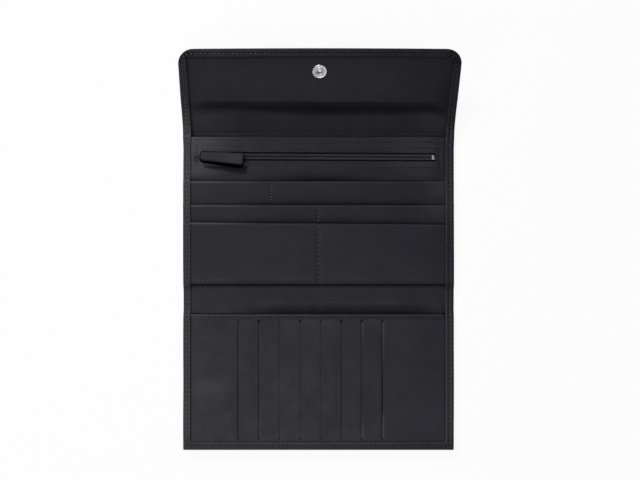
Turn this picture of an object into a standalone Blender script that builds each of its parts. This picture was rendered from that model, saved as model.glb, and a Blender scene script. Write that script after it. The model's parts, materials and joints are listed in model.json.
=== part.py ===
"""Travel document wallet, lying open and face up.

The back panel lies on the table with a zip pocket and three open pockets. Above it (+Y) a spine and a snap
flap lean up; below it (-Y) a spine and a front panel with eight card slits lie open. Metres, +Z up.
"""

import math

import bmesh
import bpy
from mathutils import Matrix, Vector

# Overall sizes, measured along the leather
WALLET_WIDTH = 0.216
BACK_HEIGHT = 0.123
BOTTOM_SPINE_HEIGHT = 0.020
FRONT_SHORT_OF_TOP = 0.0135
TOP_SPINE_HEIGHT = 0.026
FLAP_HEIGHT = 0.0465
FLAP_CORNER_RADIUS = 0.012
FLAP_REST_TILT = math.radians(33.5)

# Thickness of each sheet
COVER_LEATHER = 0.0010
STIFFENER_BOARD = 0.0005
LINING_LEATHER = 0.0004
PANEL_LEATHER = 0.0006
POCKET_LEATHER = 0.0005
BINDING_LEATHER = 0.0006
POCKET_FABRIC = 0.0002
CARD_FABRIC = 0.00015
TAPE_FABRIC = 0.0004

# Clearances: between stacked sheets, between covers at a crease, and back from a crease to let it fold
LAYER_GAP = 0.00025
CREASE_GAP = 0.0005
FOLD_RELIEF = 0.0024
ZIP_PANEL_RELIEF = 0.0030
SPINE_LINING_RELIEF = 0.0003
DOCUMENT_GAP = 0.0005

# Stitched edge strips
BINDING_WIDTH = 0.0062

# Zip, across the upper part of the back panel
ZIP_FROM_TOP_CREASE = 0.0185
ZIP_WINDOW_WIDTH = 0.0070
ZIP_LEFT_MARGIN = 0.0130
ZIP_RIGHT_MARGIN = 0.0150
ZIP_TAPE_REACH = 0.0110
ZIP_TAPE_END = 0.0035
CHAIN_WIDTH = 0.0020
CHAIN_HEIGHT = 0.00135
CHAIN_MIDDLE_GAP = 0.0010
CHAIN_BELOW_TAPE = 0.00025
STOP_LENGTH = 0.0010
BOTTOM_STOP_LENGTH = 0.0018
STOP_RISE = 0.00015

# Open pockets: each mouth's distance below the zip or the mouth above it
UPPER_POCKET_BELOW_ZIP = 0.0195
MIDDLE_POCKET_STEP = 0.0190
LOWER_POCKET_STEP = 0.0148

# Slider and its pull tab
SLIDER_LENGTH = 0.0086
SLIDER_PLATE = 0.0006
SLIDER_LOWER_PLATE = 0.0004
SLIDER_OVERLAP = 0.0010
SLIDER_POST_LENGTH = 0.0030
SLIDER_POST_WIDTH = 0.00045
SLIDER_FLANGE = 0.0005
BAIL_FROM_SLIDER_END = 0.0017
BAIL_BAR_RADIUS = 0.0006
BAIL_ARM_LENGTH = 0.0016
BAIL_ARM_WIDTH = 0.0008
BAIL_PLAY = 0.00035
BAIL_HEIGHT = 0.0080
TAB_LENGTH = 0.0333
TAB_NOSE = 0.0016
TAB_NOSE_WIDTH = 0.0064
TAB_END_WIDTH = 0.0110
TAB_THICKNESS = 0.0022
TAB_CORNER_RADIUS = 0.0012
TAB_YAW = math.radians(-5.0)

# Card slits in the front panel
CARD_SLITS = 8
FIRST_SLIT_MARGIN = 0.0440
SLIT_PITCH = 0.01644
SLIT_START = 0.0071
SLIT_END_MARGIN = 0.0089
SLIT_WIDTH = 0.0006
SLIT_END_RADIUS = 0.0008
CARD_POCKET_DEPTH = 0.0570
CARD_POCKET_MARGIN = 0.0020
CARD_LEVELS = 4

# Snap fastener
SNAP_FROM_FLAP_CREASE = 0.0289
SOCKET_RADIUS = 0.0057
SOCKET_HEIGHT = 0.00185
SOCKET_LIP_RADIUS = 0.0023
SOCKET_BORE_RADIUS = 0.0027
SOCKET_LIP = 0.0002
SPRING_RADIUS = 0.00225
SPRING_WIRE_RADIUS = 0.0002
CAP_RADIUS = 0.0050
CAP_POST_RADIUS = 0.0028
CAP_POST_BORE = 0.0023
STUD_HEIGHT = 0.0034
STUD_FLANGE_RADIUS = 0.0048
STUD_FLANGE = 0.0004
STUD_HEAD_RADIUS = 0.0020
STUD_HEAD_HEIGHT = 0.0019
STUD_NECK_RADIUS = 0.0016
POST_RADIUS = 0.0008
POST_HEAD_RADIUS = 0.0045

# Smoothness of round shapes
TURNED_STEPS = 32
CORNER_STEPS = 8

# Derived sizes and levels. Height 0 of each panel is the inner face of its cover, where the creases hinge.
HALF_WIDTH = WALLET_WIDTH / 2
SHEET_HALF_WIDTH = HALF_WIDTH - BINDING_LEATHER - LAYER_GAP
BACK_HALF = BACK_HEIGHT / 2
FRONT_HEIGHT = BACK_HEIGHT - FRONT_SHORT_OF_TOP
SNAP_FROM_FRONT_CREASE = BACK_HEIGHT - SNAP_FROM_FLAP_CREASE
STUD_TIP = COVER_LEATHER + STUD_HEIGHT
ZIP_HEIGHT = BACK_HALF - ZIP_FROM_TOP_CREASE
ZIP_WINDOW_LEFT = ZIP_LEFT_MARGIN - HALF_WIDTH
ZIP_WINDOW_RIGHT = HALF_WIDTH - ZIP_RIGHT_MARGIN
UPPER_POCKET_MOUTH = ZIP_HEIGHT - UPPER_POCKET_BELOW_ZIP
MIDDLE_POCKET_MOUTH = UPPER_POCKET_MOUTH - MIDDLE_POCKET_STEP
LOWER_POCKET_MOUTH = MIDDLE_POCKET_MOUTH - LOWER_POCKET_STEP
FIRST_SLIT_X = FIRST_SLIT_MARGIN - HALF_WIDTH
SLIT_LENGTH = FRONT_HEIGHT - SLIT_START - SLIT_END_MARGIN


def pile(start, *thicknesses):
    """Lower face of each sheet piled above start, with LAYER_GAP under each."""
    levels = []
    level = start
    for thickness in thicknesses:
        levels.append(level + LAYER_GAP)
        level += LAYER_GAP + thickness
    return levels


STIFFENER_LEVEL, LINING_LEVEL, ZIP_LINING_LEVEL, SLIDER_LEVEL, CHAIN_LEVEL = pile(
    0.0, STIFFENER_BOARD, LINING_LEATHER, POCKET_FABRIC, SLIDER_LOWER_PLATE, CHAIN_HEIGHT
)
TAPE_LEVEL = CHAIN_LEVEL + CHAIN_BELOW_TAPE
ZIP_PANEL_LEVEL, UPPER_POCKET_LEVEL, MIDDLE_POCKET_LEVEL, LOWER_POCKET_LEVEL = pile(
    TAPE_LEVEL + TAPE_FABRIC, PANEL_LEATHER, POCKET_LEATHER, POCKET_LEATHER, POCKET_LEATHER
)
ZIP_PANEL_TOP = ZIP_PANEL_LEVEL + PANEL_LEATHER
SLIDER_TOP_LEVEL = max(CHAIN_LEVEL + CHAIN_HEIGHT, ZIP_PANEL_TOP) + LAYER_GAP
LINING_TOP = LINING_LEVEL + LINING_LEATHER
SPINE_LINING_LEVEL = LAYER_GAP
SPINE_LINING_TOP = SPINE_LINING_LEVEL + LINING_LEATHER
CARD_BACKING_LEVEL = LINING_TOP + DOCUMENT_GAP
CARD_LEVEL_PITCH = LAYER_GAP + CARD_FABRIC
FIRST_CARD_LEVEL = CARD_BACKING_LEVEL + POCKET_FABRIC + LAYER_GAP
SLOT_PANEL_LEVEL = FIRST_CARD_LEVEL + CARD_LEVELS * CARD_LEVEL_PITCH
SLOT_PANEL_TOP = SLOT_PANEL_LEVEL + PANEL_LEATHER
SOCKET_LEVEL = LINING_TOP + LAYER_GAP


def front_rest_tilt():
    """Angle at which the front panel rests on the tip of its snap stud."""
    reach = math.hypot(SNAP_FROM_FRONT_CREASE, STUD_TIP)
    return math.atan2(STUD_TIP, SNAP_FROM_FRONT_CREASE) - math.asin(COVER_LEATHER / reach)


# Scene, collections and materials

for old_object in list(bpy.data.objects):
    bpy.data.objects.remove(old_object)

PARTS = bpy.data.collections.new("travel_document_wallet")
CUTTERS = bpy.data.collections.new("cutters")
CUTTERS.hide_render = True
bpy.context.scene.collection.children.link(PARTS)
bpy.context.scene.collection.children.link(CUTTERS)


def material(name, colour, roughness, metallic=0.0):
    made = bpy.data.materials.new(name)
    made.use_nodes = True
    shader = made.node_tree.nodes["Principled BSDF"]
    shader.inputs["Base Color"].default_value = (*colour, 1.0)
    shader.inputs["Roughness"].default_value = roughness
    shader.inputs["Metallic"].default_value = metallic
    return made


COVER = material("cover_leather", (0.020, 0.020, 0.022), 0.55)
LINING = material("lining_leather", (0.024, 0.024, 0.027), 0.62)
PANEL = material("panel_leather", (0.028, 0.027, 0.030), 0.52)
BINDING = material("binding_leather", (0.030, 0.029, 0.032), 0.50)
BOARD = material("stiffener_board", (0.30, 0.27, 0.22), 0.90)
FABRIC = material("pocket_fabric", (0.015, 0.015, 0.017), 0.85)
TAPE = material("zip_tape", (0.018, 0.018, 0.020), 0.80)
CHAIN = material("zip_chain", (0.030, 0.030, 0.032), 0.45)
DARK_METAL = material("dark_metal", (0.10, 0.10, 0.11), 0.35, 1.0)
BRIGHT_METAL = material("bright_metal", (0.72, 0.72, 0.73), 0.22, 1.0)


# Modelling helpers

def frame(name, parent, location, tilt=0.0):
    """Empty on a crease or pin, turned by tilt about X, that carries the pieces of one moving body."""
    empty = bpy.data.objects.new(name, None)
    empty.empty_display_size = 0.01
    empty.location = location
    empty.rotation_euler = (tilt, 0.0, 0.0)
    empty.parent = parent
    PARTS.objects.link(empty)
    return empty


def add(name, mesh, body, finish, location=(0.0, 0.0, 0.0)):
    piece = bpy.data.objects.new(name, mesh)
    piece.parent = body
    piece.location = location
    mesh.materials.append(finish)
    PARTS.objects.link(piece)
    return piece


def add_cutter(name, mesh, body, location=(0.0, 0.0, 0.0)):
    cutter = bpy.data.objects.new(name, mesh)
    cutter.parent = body
    cutter.location = location
    cutter.hide_render = True
    cutter.display_type = "WIRE"
    CUTTERS.objects.link(cutter)
    return cutter


def boolean(piece, cutter, operation):
    step = piece.modifiers.new(f"{operation.lower()} {cutter.name}", "BOOLEAN")
    step.solver = "EXACT"
    step.operation = operation
    step.object = cutter


def box_mesh(name, x_span, y_span, z_span):
    """Box between the two ends of each span."""
    spans = (x_span, y_span, z_span)
    box = bmesh.new()
    bmesh.ops.create_cube(box, size=1.0)
    bmesh.ops.scale(box, vec=[abs(b - a) for a, b in spans], verts=box.verts)
    bmesh.ops.translate(box, vec=[(a + b) / 2 for a, b in spans], verts=box.verts)
    mesh = bpy.data.meshes.new(name)
    box.to_mesh(mesh)
    box.free()
    return mesh


def rod_mesh(name, radius, length, turn):
    """Round rod about the origin, along Z before turn."""
    rod = bmesh.new()
    bmesh.ops.create_cone(
        rod, cap_ends=True, segments=TURNED_STEPS, radius1=radius, radius2=radius, depth=length, matrix=turn
    )
    mesh = bpy.data.meshes.new(name)
    rod.to_mesh(mesh)
    rod.free()
    return mesh


def outline_mesh(name, loops, low, high, turn=Matrix.Identity(4)):
    """Flat outline, holes included, between two levels along Z, then turned."""
    curve = bpy.data.curves.new(name, "CURVE")
    curve.dimensions = "2D"
    curve.fill_mode = "BOTH"
    curve.extrude = (high - low) / 2
    for loop in loops:
        spline = curve.splines.new("POLY")
        spline.points.add(len(loop) - 1)
        for point, (x, y) in zip(spline.points, loop):
            point.co = (x, y, 0.0, 1.0)
        spline.use_cyclic_u = True
    holder = bpy.data.objects.new(name, curve)
    mesh = bpy.data.meshes.new_from_object(holder)
    bpy.data.objects.remove(holder)
    bpy.data.curves.remove(curve)
    mesh.name = name
    shape = bmesh.new()
    shape.from_mesh(mesh)
    bmesh.ops.remove_doubles(shape, verts=shape.verts, dist=1e-6)
    bmesh.ops.recalc_face_normals(shape, faces=shape.faces)
    bmesh.ops.translate(shape, vec=(0.0, 0.0, (low + high) / 2), verts=shape.verts)
    bmesh.ops.transform(shape, matrix=turn, verts=shape.verts)
    shape.to_mesh(mesh)
    shape.free()
    mesh.materials.clear()
    return mesh


# Turns an outline drawn as (y, z) so that its thickness runs along X
ALONG_X = Matrix(((0, 0, 1, 0), (1, 0, 0, 0), (0, 1, 0, 0), (0, 0, 0, 1)))


def arc(centre, radius, start, end):
    """Points of an arc, both ends included, angles in degrees."""
    points = []
    for step in range(CORNER_STEPS + 1):
        angle = math.radians(start + (end - start) * step / CORNER_STEPS)
        points.append((centre[0] + radius * math.cos(angle), centre[1] + radius * math.sin(angle)))
    return points


def rectangle(x_span, y_span):
    return [
        (x_span[0], y_span[0]),
        (x_span[1], y_span[0]),
        (x_span[1], y_span[1]),
        (x_span[0], y_span[1]),
    ]


def circle(centre, radius):
    points = []
    for step in range(TURNED_STEPS):
        angle = 2 * math.pi * step / TURNED_STEPS
        points.append((centre[0] + radius * math.cos(angle), centre[1] + radius * math.sin(angle)))
    return points


def sheet(name, body, finish, x_span, y_span, level, thickness):
    return add(name, box_mesh(name, x_span, y_span, (level, level + thickness)), body, finish)


def turned(name, body, finish, profile, location, closed_ring=False):
    """Shape turned about Z from a profile of (radius, height), outer side listed from top to bottom."""
    mesh = bpy.data.meshes.new(name)
    shape = bmesh.new()
    corners = [shape.verts.new((radius, 0.0, height)) for radius, height in profile]
    for first, second in zip(corners, corners[1:]):
        shape.edges.new((first, second))
    if closed_ring:
        shape.edges.new((corners[-1], corners[0]))
    shape.to_mesh(mesh)
    shape.free()
    piece = add(name, mesh, body, finish, location)
    screw = piece.modifiers.new("turn", "SCREW")
    screw.steps = TURNED_STEPS
    screw.render_steps = TURNED_STEPS
    screw.use_merge_vertices = True
    screw.merge_threshold = 1e-6
    return piece


def stepped_profile(y_start, y_end, floor, steps, shift):
    """Side outline over steps of (y where it starts, its level); each later step starts shift further on."""
    points = [(y_end, floor), (y_start, floor), (y_start, steps[0][1])]
    for (_, level), (y_next, next_level) in zip(steps, steps[1:]):
        points.append((y_next + shift, level))
        points.append((y_next + shift, next_level))
    points.append((y_end, steps[-1][1]))
    return points


def side_binding(name, body, side, y_start, y_end, steps):
    """Edge strip along one side: a wall at the edge and a leg over the pile, whose top is given by steps."""
    over = LAYER_GAP + BINDING_LEATHER
    strip_steps = [(y, level + over) for y, level in steps]
    room_steps = [(y, level + LAYER_GAP) for y, level in steps]
    strip = outline_mesh(
        name,
        [stepped_profile(y_start, y_end, LAYER_GAP, strip_steps, over)],
        HALF_WIDTH - BINDING_WIDTH,
        HALF_WIDTH,
        Matrix.Scale(side, 4, (1, 0, 0)) @ ALONG_X,
    )
    room = outline_mesh(
        f"{name}_room",
        [stepped_profile(y_start - over, y_end + over, -over, room_steps, LAYER_GAP)],
        HALF_WIDTH - 2 * BINDING_WIDTH,
        HALF_WIDTH - BINDING_LEATHER,
        Matrix.Scale(side, 4, (1, 0, 0)) @ ALONG_X,
    )
    for mesh in (strip, room):
        outward(mesh)
    piece = add(name, strip, body, BINDING)
    boolean(piece, add_cutter(f"{name}_room", room, body), "DIFFERENCE")


def outward(mesh):
    """Faces of a mirrored mesh turned outwards again."""
    shape = bmesh.new()
    shape.from_mesh(mesh)
    bmesh.ops.recalc_face_normals(shape, faces=shape.faces)
    shape.to_mesh(mesh)
    shape.free()


SIDES = (("left", -1), ("right", 1))
FULL_WIDTH = (-HALF_WIDTH, HALF_WIDTH)
SHEET_WIDTH = (-SHEET_HALF_WIDTH, SHEET_HALF_WIDTH)

# Bodies, each on its own crease or pin

BACK = frame("back_panel_frame", None, (0.0, 0.0, COVER_LEATHER))
TOP_SPINE = frame("top_spine_frame", BACK, (0.0, BACK_HALF, 0.0), FLAP_REST_TILT)
FLAP = frame("flap_frame", TOP_SPINE, (0.0, TOP_SPINE_HEIGHT, 0.0))
BOTTOM_SPINE = frame("bottom_spine_frame", BACK, (0.0, -BACK_HALF, 0.0))
FRONT = frame("front_panel_frame", BOTTOM_SPINE, (0.0, -BOTTOM_SPINE_HEIGHT, 0.0), -front_rest_tilt())

CHAIN_END_GAP = LAYER_GAP + STOP_LENGTH + LAYER_GAP
CHAIN_LEFT = ZIP_WINDOW_LEFT + CHAIN_END_GAP
CHAIN_RIGHT = ZIP_WINDOW_RIGHT - LAYER_GAP - BOTTOM_STOP_LENGTH - LAYER_GAP
CHAIN_REACH = CHAIN_MIDDLE_GAP / 2 + CHAIN_WIDTH
SLIDER_CENTRE = CHAIN_LEFT + SLIDER_LENGTH / 2
BAIL_X = BAIL_FROM_SLIDER_END - SLIDER_LENGTH / 2
SLIDER = frame("zip_slider_frame", BACK, (SLIDER_CENTRE, ZIP_HEIGHT, 0.0))
PULL = frame("zip_pull_frame", SLIDER, (BAIL_X, 0.0, BAIL_HEIGHT))


# Back panel

def make_back_panel():
    back_span = (-BACK_HALF + CREASE_GAP / 2, BACK_HALF - CREASE_GAP / 2)
    low, high = -BACK_HALF + FOLD_RELIEF, BACK_HALF - ZIP_PANEL_RELIEF
    sheet("back_cover", BACK, COVER, FULL_WIDTH, back_span, -COVER_LEATHER, COVER_LEATHER)
    sheet("back_stiffener", BACK, BOARD, SHEET_WIDTH, (low, high), STIFFENER_LEVEL, STIFFENER_BOARD)
    sheet("back_lining", BACK, LINING, SHEET_WIDTH, (low, high), LINING_LEVEL, LINING_LEATHER)
    sheet("zip_pocket_lining", BACK, FABRIC, SHEET_WIDTH, (low, high), ZIP_LINING_LEVEL, POCKET_FABRIC)
    half_window = ZIP_WINDOW_WIDTH / 2
    window = rectangle(
        (ZIP_WINDOW_LEFT, ZIP_WINDOW_RIGHT), (ZIP_HEIGHT - half_window, ZIP_HEIGHT + half_window)
    )
    panel = outline_mesh(
        "zip_panel", [rectangle(SHEET_WIDTH, (low, high)), window], ZIP_PANEL_LEVEL, ZIP_PANEL_TOP
    )
    add("zip_panel", panel, BACK, PANEL)
    pockets = (
        ("pocket_upper", UPPER_POCKET_MOUTH, UPPER_POCKET_LEVEL),
        ("pocket_middle", MIDDLE_POCKET_MOUTH, MIDDLE_POCKET_LEVEL),
        ("pocket_lower", LOWER_POCKET_MOUTH, LOWER_POCKET_LEVEL),
    )
    for name, mouth, level in pockets:
        sheet(name, BACK, PANEL, SHEET_WIDTH, (low, mouth), level, POCKET_LEATHER)
    steps = [
        (low, LOWER_POCKET_LEVEL + POCKET_LEATHER),
        (LOWER_POCKET_MOUTH, MIDDLE_POCKET_LEVEL + POCKET_LEATHER),
        (MIDDLE_POCKET_MOUTH, UPPER_POCKET_LEVEL + POCKET_LEATHER),
        (UPPER_POCKET_MOUTH, ZIP_PANEL_TOP),
    ]
    for name, side in SIDES:
        side_binding(f"back_binding_{name}", BACK, side, low, high, steps)


# Zip: tapes, chain and stops on the back panel, slider and pull on their own frames

def make_zip():
    tape_span = (ZIP_WINDOW_LEFT - ZIP_TAPE_END, ZIP_WINDOW_RIGHT + ZIP_TAPE_END)
    stop_left = (ZIP_WINDOW_LEFT + LAYER_GAP, ZIP_WINDOW_LEFT + LAYER_GAP + STOP_LENGTH)
    chain_span = (CHAIN_LEVEL, CHAIN_LEVEL + CHAIN_HEIGHT)
    stop_span = (CHAIN_LEVEL, CHAIN_LEVEL + CHAIN_HEIGHT + STOP_RISE)
    for name, side in (("upper", 1), ("lower", -1)):
        inner, outer = ZIP_HEIGHT + side * CHAIN_MIDDLE_GAP / 2, ZIP_HEIGHT + side * CHAIN_REACH
        tape = (outer + side * LAYER_GAP, ZIP_HEIGHT + side * ZIP_TAPE_REACH)
        sheet(f"zip_tape_{name}", BACK, TAPE, tape_span, tape, TAPE_LEVEL, TAPE_FABRIC)
        chain = box_mesh(f"zip_chain_{name}", (CHAIN_LEFT, CHAIN_RIGHT), (inner, outer), chain_span)
        add(f"zip_chain_{name}", chain, BACK, CHAIN)
        stop = box_mesh(f"zip_top_stop_{name}", stop_left, (inner, outer), stop_span)
        add(f"zip_top_stop_{name}", stop, BACK, BRIGHT_METAL)
    stop_right = (CHAIN_RIGHT + LAYER_GAP, CHAIN_RIGHT + LAYER_GAP + BOTTOM_STOP_LENGTH)
    both_rows = (ZIP_HEIGHT - CHAIN_REACH, ZIP_HEIGHT + CHAIN_REACH)
    add("zip_bottom_stop", box_mesh("zip_bottom_stop", stop_right, both_rows, stop_span), BACK, BRIGHT_METAL)


def make_slider():
    half = SLIDER_LENGTH / 2
    length = (-half, half)
    plate_half = ZIP_WINDOW_WIDTH / 2 + SLIDER_OVERLAP
    plate_top = SLIDER_TOP_LEVEL + SLIDER_PLATE
    flange_outer = ZIP_WINDOW_WIDTH / 2 - LAYER_GAP
    flange_inner = flange_outer - SLIDER_FLANGE
    middle = (SLIDER_LEVEL, SLIDER_TOP_LEVEL + SLIDER_PLATE / 2)
    body = add(
        "zip_slider",
        box_mesh("zip_slider", length, (-plate_half, plate_half), (SLIDER_TOP_LEVEL, plate_top)),
        SLIDER,
        DARK_METAL,
    )
    lower_plate = (SLIDER_LEVEL, SLIDER_LEVEL + SLIDER_LOWER_PLATE)
    pieces = {
        "slider_post": box_mesh(
            "slider_post",
            (-SLIDER_POST_LENGTH / 2, SLIDER_POST_LENGTH / 2),
            (-SLIDER_POST_WIDTH / 2, SLIDER_POST_WIDTH / 2),
            middle,
        ),
        "slider_lower_plate": box_mesh(
            "slider_lower_plate", length, (-flange_outer, flange_outer), lower_plate
        ),
    }
    flange_span = (TAPE_LEVEL + TAPE_FABRIC + LAYER_GAP, middle[1])
    arm_inner = TAB_NOSE_WIDTH / 2 + BAIL_PLAY
    arm_length = (BAIL_X - BAIL_ARM_LENGTH / 2, BAIL_X + BAIL_ARM_LENGTH / 2)
    arm_span = (middle[1], BAIL_HEIGHT + BAIL_ARM_LENGTH / 2)
    for name, side in SIDES:
        pieces[f"slider_flange_{name}"] = box_mesh(
            f"slider_flange_{name}", length, (side * flange_inner, side * flange_outer), flange_span
        )
        pieces[f"bail_arm_{name}"] = box_mesh(
            f"bail_arm_{name}", arm_length, (side * arm_inner, side * (arm_inner + BAIL_ARM_WIDTH)), arm_span
        )
    for name, mesh in pieces.items():
        boolean(body, add_cutter(name, mesh, SLIDER), "UNION")
    bar = rod_mesh(
        "bail_bar", BAIL_BAR_RADIUS, 2 * arm_inner + BAIL_ARM_WIDTH, Matrix.Rotation(math.pi / 2, 4, "X")
    )
    boolean(body, add_cutter("bail_bar", bar, PULL), "UNION")


def make_pull_tab():
    """Leather tab folded round the bail bar, a little askew as it lies."""
    end = TAB_LENGTH - TAB_NOSE
    nose, wide = TAB_NOSE_WIDTH / 2, TAB_END_WIDTH / 2
    corner = TAB_CORNER_RADIUS
    plan = [
        *arc((end - corner, corner - wide), corner, -90, 0),
        *arc((end - corner, wide - corner), corner, 0, 90),
        *arc((corner - TAB_NOSE, nose - corner), corner, 90, 180),
        *arc((corner - TAB_NOSE, corner - nose), corner, 180, 270),
    ]
    half = TAB_THICKNESS / 2
    mesh = outline_mesh("zip_pull_tab", [plan], -half, half, Matrix.Rotation(TAB_YAW, 4, "Z"))
    tab = add("zip_pull_tab", mesh, PULL, PANEL)
    eye = rod_mesh(
        "tab_eye", BAIL_BAR_RADIUS + LAYER_GAP, 2 * TAB_END_WIDTH, Matrix.Rotation(math.pi / 2, 4, "X")
    )
    boolean(tab, add_cutter("tab_eye", eye, PULL), "DIFFERENCE")


# Spines

def make_spine(prefix, body, height, direction):
    """Cover, lining and edge strips of one spine, running from its crease along direction (+1 or -1 in Y)."""
    def span(from_crease, to_crease):
        return sorted((direction * from_crease, direction * (height - to_crease)))

    cover = span(CREASE_GAP / 2, CREASE_GAP / 2)
    lining = span(SPINE_LINING_RELIEF, SPINE_LINING_RELIEF)
    strip = span(CREASE_GAP, CREASE_GAP)
    sheet(f"{prefix}_cover", body, COVER, FULL_WIDTH, cover, -COVER_LEATHER, COVER_LEATHER)
    sheet(f"{prefix}_lining", body, LINING, SHEET_WIDTH, lining, SPINE_LINING_LEVEL, LINING_LEATHER)
    for name, side in SIDES:
        side_binding(f"{prefix}_binding_{name}", body, side, *strip, [(strip[0], SPINE_LINING_TOP)])


# Flap

def flap_outline(inset, base):
    """Flap shape inset from its edges, with round upper corners, starting base from its crease."""
    half, top, radius = HALF_WIDTH - inset, FLAP_HEIGHT - inset, FLAP_CORNER_RADIUS - inset
    return [
        (-half, base),
        (half, base),
        *arc((half - radius, top - radius), radius, 0, 90),
        *arc((radius - half, top - radius), radius, 90, 180),
    ]


def make_flap():
    snap = (0.0, SNAP_FROM_FLAP_CREASE)
    inset = BINDING_LEATHER + LAYER_GAP
    cover = outline_mesh("flap_cover", [flap_outline(0.0, CREASE_GAP / 2)], -COVER_LEATHER, 0.0)
    add("flap_cover", cover, FLAP, COVER)
    board = outline_mesh(
        "flap_stiffener",
        [flap_outline(inset, FOLD_RELIEF), circle(snap, CAP_RADIUS + LAYER_GAP)],
        STIFFENER_LEVEL,
        STIFFENER_LEVEL + STIFFENER_BOARD,
    )
    add("flap_stiffener", board, FLAP, BOARD)
    lining = outline_mesh(
        "flap_lining",
        [flap_outline(inset, FOLD_RELIEF), circle(snap, CAP_POST_RADIUS + LAYER_GAP)],
        LINING_LEVEL,
        LINING_TOP,
    )
    add("flap_lining", lining, FLAP, LINING)
    strip_start = FLAP_HEIGHT - FLAP_CORNER_RADIUS
    strip_steps = [(FOLD_RELIEF, LINING_TOP)]
    for name, side in SIDES:
        side_binding(f"flap_binding_{name}", FLAP, side, FOLD_RELIEF, strip_start - LAYER_GAP, strip_steps)
    outer = flap_outline(0.0, strip_start)[2:]
    inner = flap_outline(BINDING_WIDTH, strip_start)[2:]
    strip = outline_mesh(
        "flap_binding_top", [outer + inner[::-1]], LAYER_GAP, LINING_TOP + LAYER_GAP + BINDING_LEATHER
    )
    room = outline_mesh(
        "flap_binding_top_room",
        [flap_outline(BINDING_LEATHER, strip_start - BINDING_WIDTH)],
        -BINDING_LEATHER,
        LINING_TOP + LAYER_GAP,
    )
    piece = add("flap_binding_top", strip, FLAP, BINDING)
    boolean(piece, add_cutter("flap_binding_top_room", room, FLAP), "DIFFERENCE")


def make_snap_socket():
    place = (0.0, SNAP_FROM_FLAP_CREASE, 0.0)
    face = SOCKET_LEVEL + SOCKET_HEIGHT
    post_top = SOCKET_LEVEL + SOCKET_HEIGHT / 2 - LAYER_GAP
    cap_top = STIFFENER_LEVEL + STIFFENER_BOARD
    cap = [
        (0.0, cap_top),
        (CAP_POST_BORE, cap_top),
        (CAP_POST_BORE, post_top),
        (CAP_POST_RADIUS, post_top),
        (CAP_POST_RADIUS, cap_top),
        (CAP_RADIUS, cap_top),
        (CAP_RADIUS, STIFFENER_LEVEL),
        (0.0, STIFFENER_LEVEL),
    ]
    turned("snap_cap", FLAP, BRIGHT_METAL, cap, place)
    collar = CAP_POST_RADIUS + LAYER_GAP
    rim_top = face - SOCKET_LIP
    groove = face - 3 * SOCKET_LIP
    ring_outer = (SOCKET_LIP_RADIUS + SOCKET_RADIUS) / 2
    edge = SOCKET_RADIUS - 2 * SOCKET_LIP
    socket = [
        (SOCKET_LIP_RADIUS, face),
        (ring_outer - SOCKET_LIP, face),
        (ring_outer, groove),
        (edge - 2 * SOCKET_LIP, groove),
        (edge - SOCKET_LIP, rim_top),
        (edge, rim_top),
        (SOCKET_RADIUS, groove - SOCKET_LIP),
        (SOCKET_RADIUS, SOCKET_LEVEL),
        (collar, SOCKET_LEVEL),
        (collar, post_top + LAYER_GAP),
        (SOCKET_BORE_RADIUS, post_top + LAYER_GAP),
        (SOCKET_BORE_RADIUS, rim_top),
        (SOCKET_LIP_RADIUS, rim_top),
    ]
    turned("snap_socket", FLAP, BRIGHT_METAL, socket, place, closed_ring=True)
    spring_height = post_top + LAYER_GAP + SPRING_WIRE_RADIUS
    wire = []
    for step in range(CORNER_STEPS):
        angle = -2 * math.pi * step / CORNER_STEPS
        wire.append(
            (
                SPRING_RADIUS + SPRING_WIRE_RADIUS * math.cos(angle),
                spring_height + SPRING_WIRE_RADIUS * math.sin(angle),
            )
        )
    turned("snap_spring", FLAP, BRIGHT_METAL, wire, place, closed_ring=True)


# Front panel

def slit_outline(x):
    """Slit along Y with a round relief hole at each end."""
    near, far = -SLIT_START, -SLIT_START - SLIT_LENGTH
    half = SLIT_WIDTH / 2
    flare = math.degrees(math.asin(half / SLIT_END_RADIUS))
    return [
        *arc((x, near), SLIT_END_RADIUS, -90 + flare, 270 - flare),
        *arc((x, far), SLIT_END_RADIUS, 90 + flare, 450 - flare),
    ]


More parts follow.
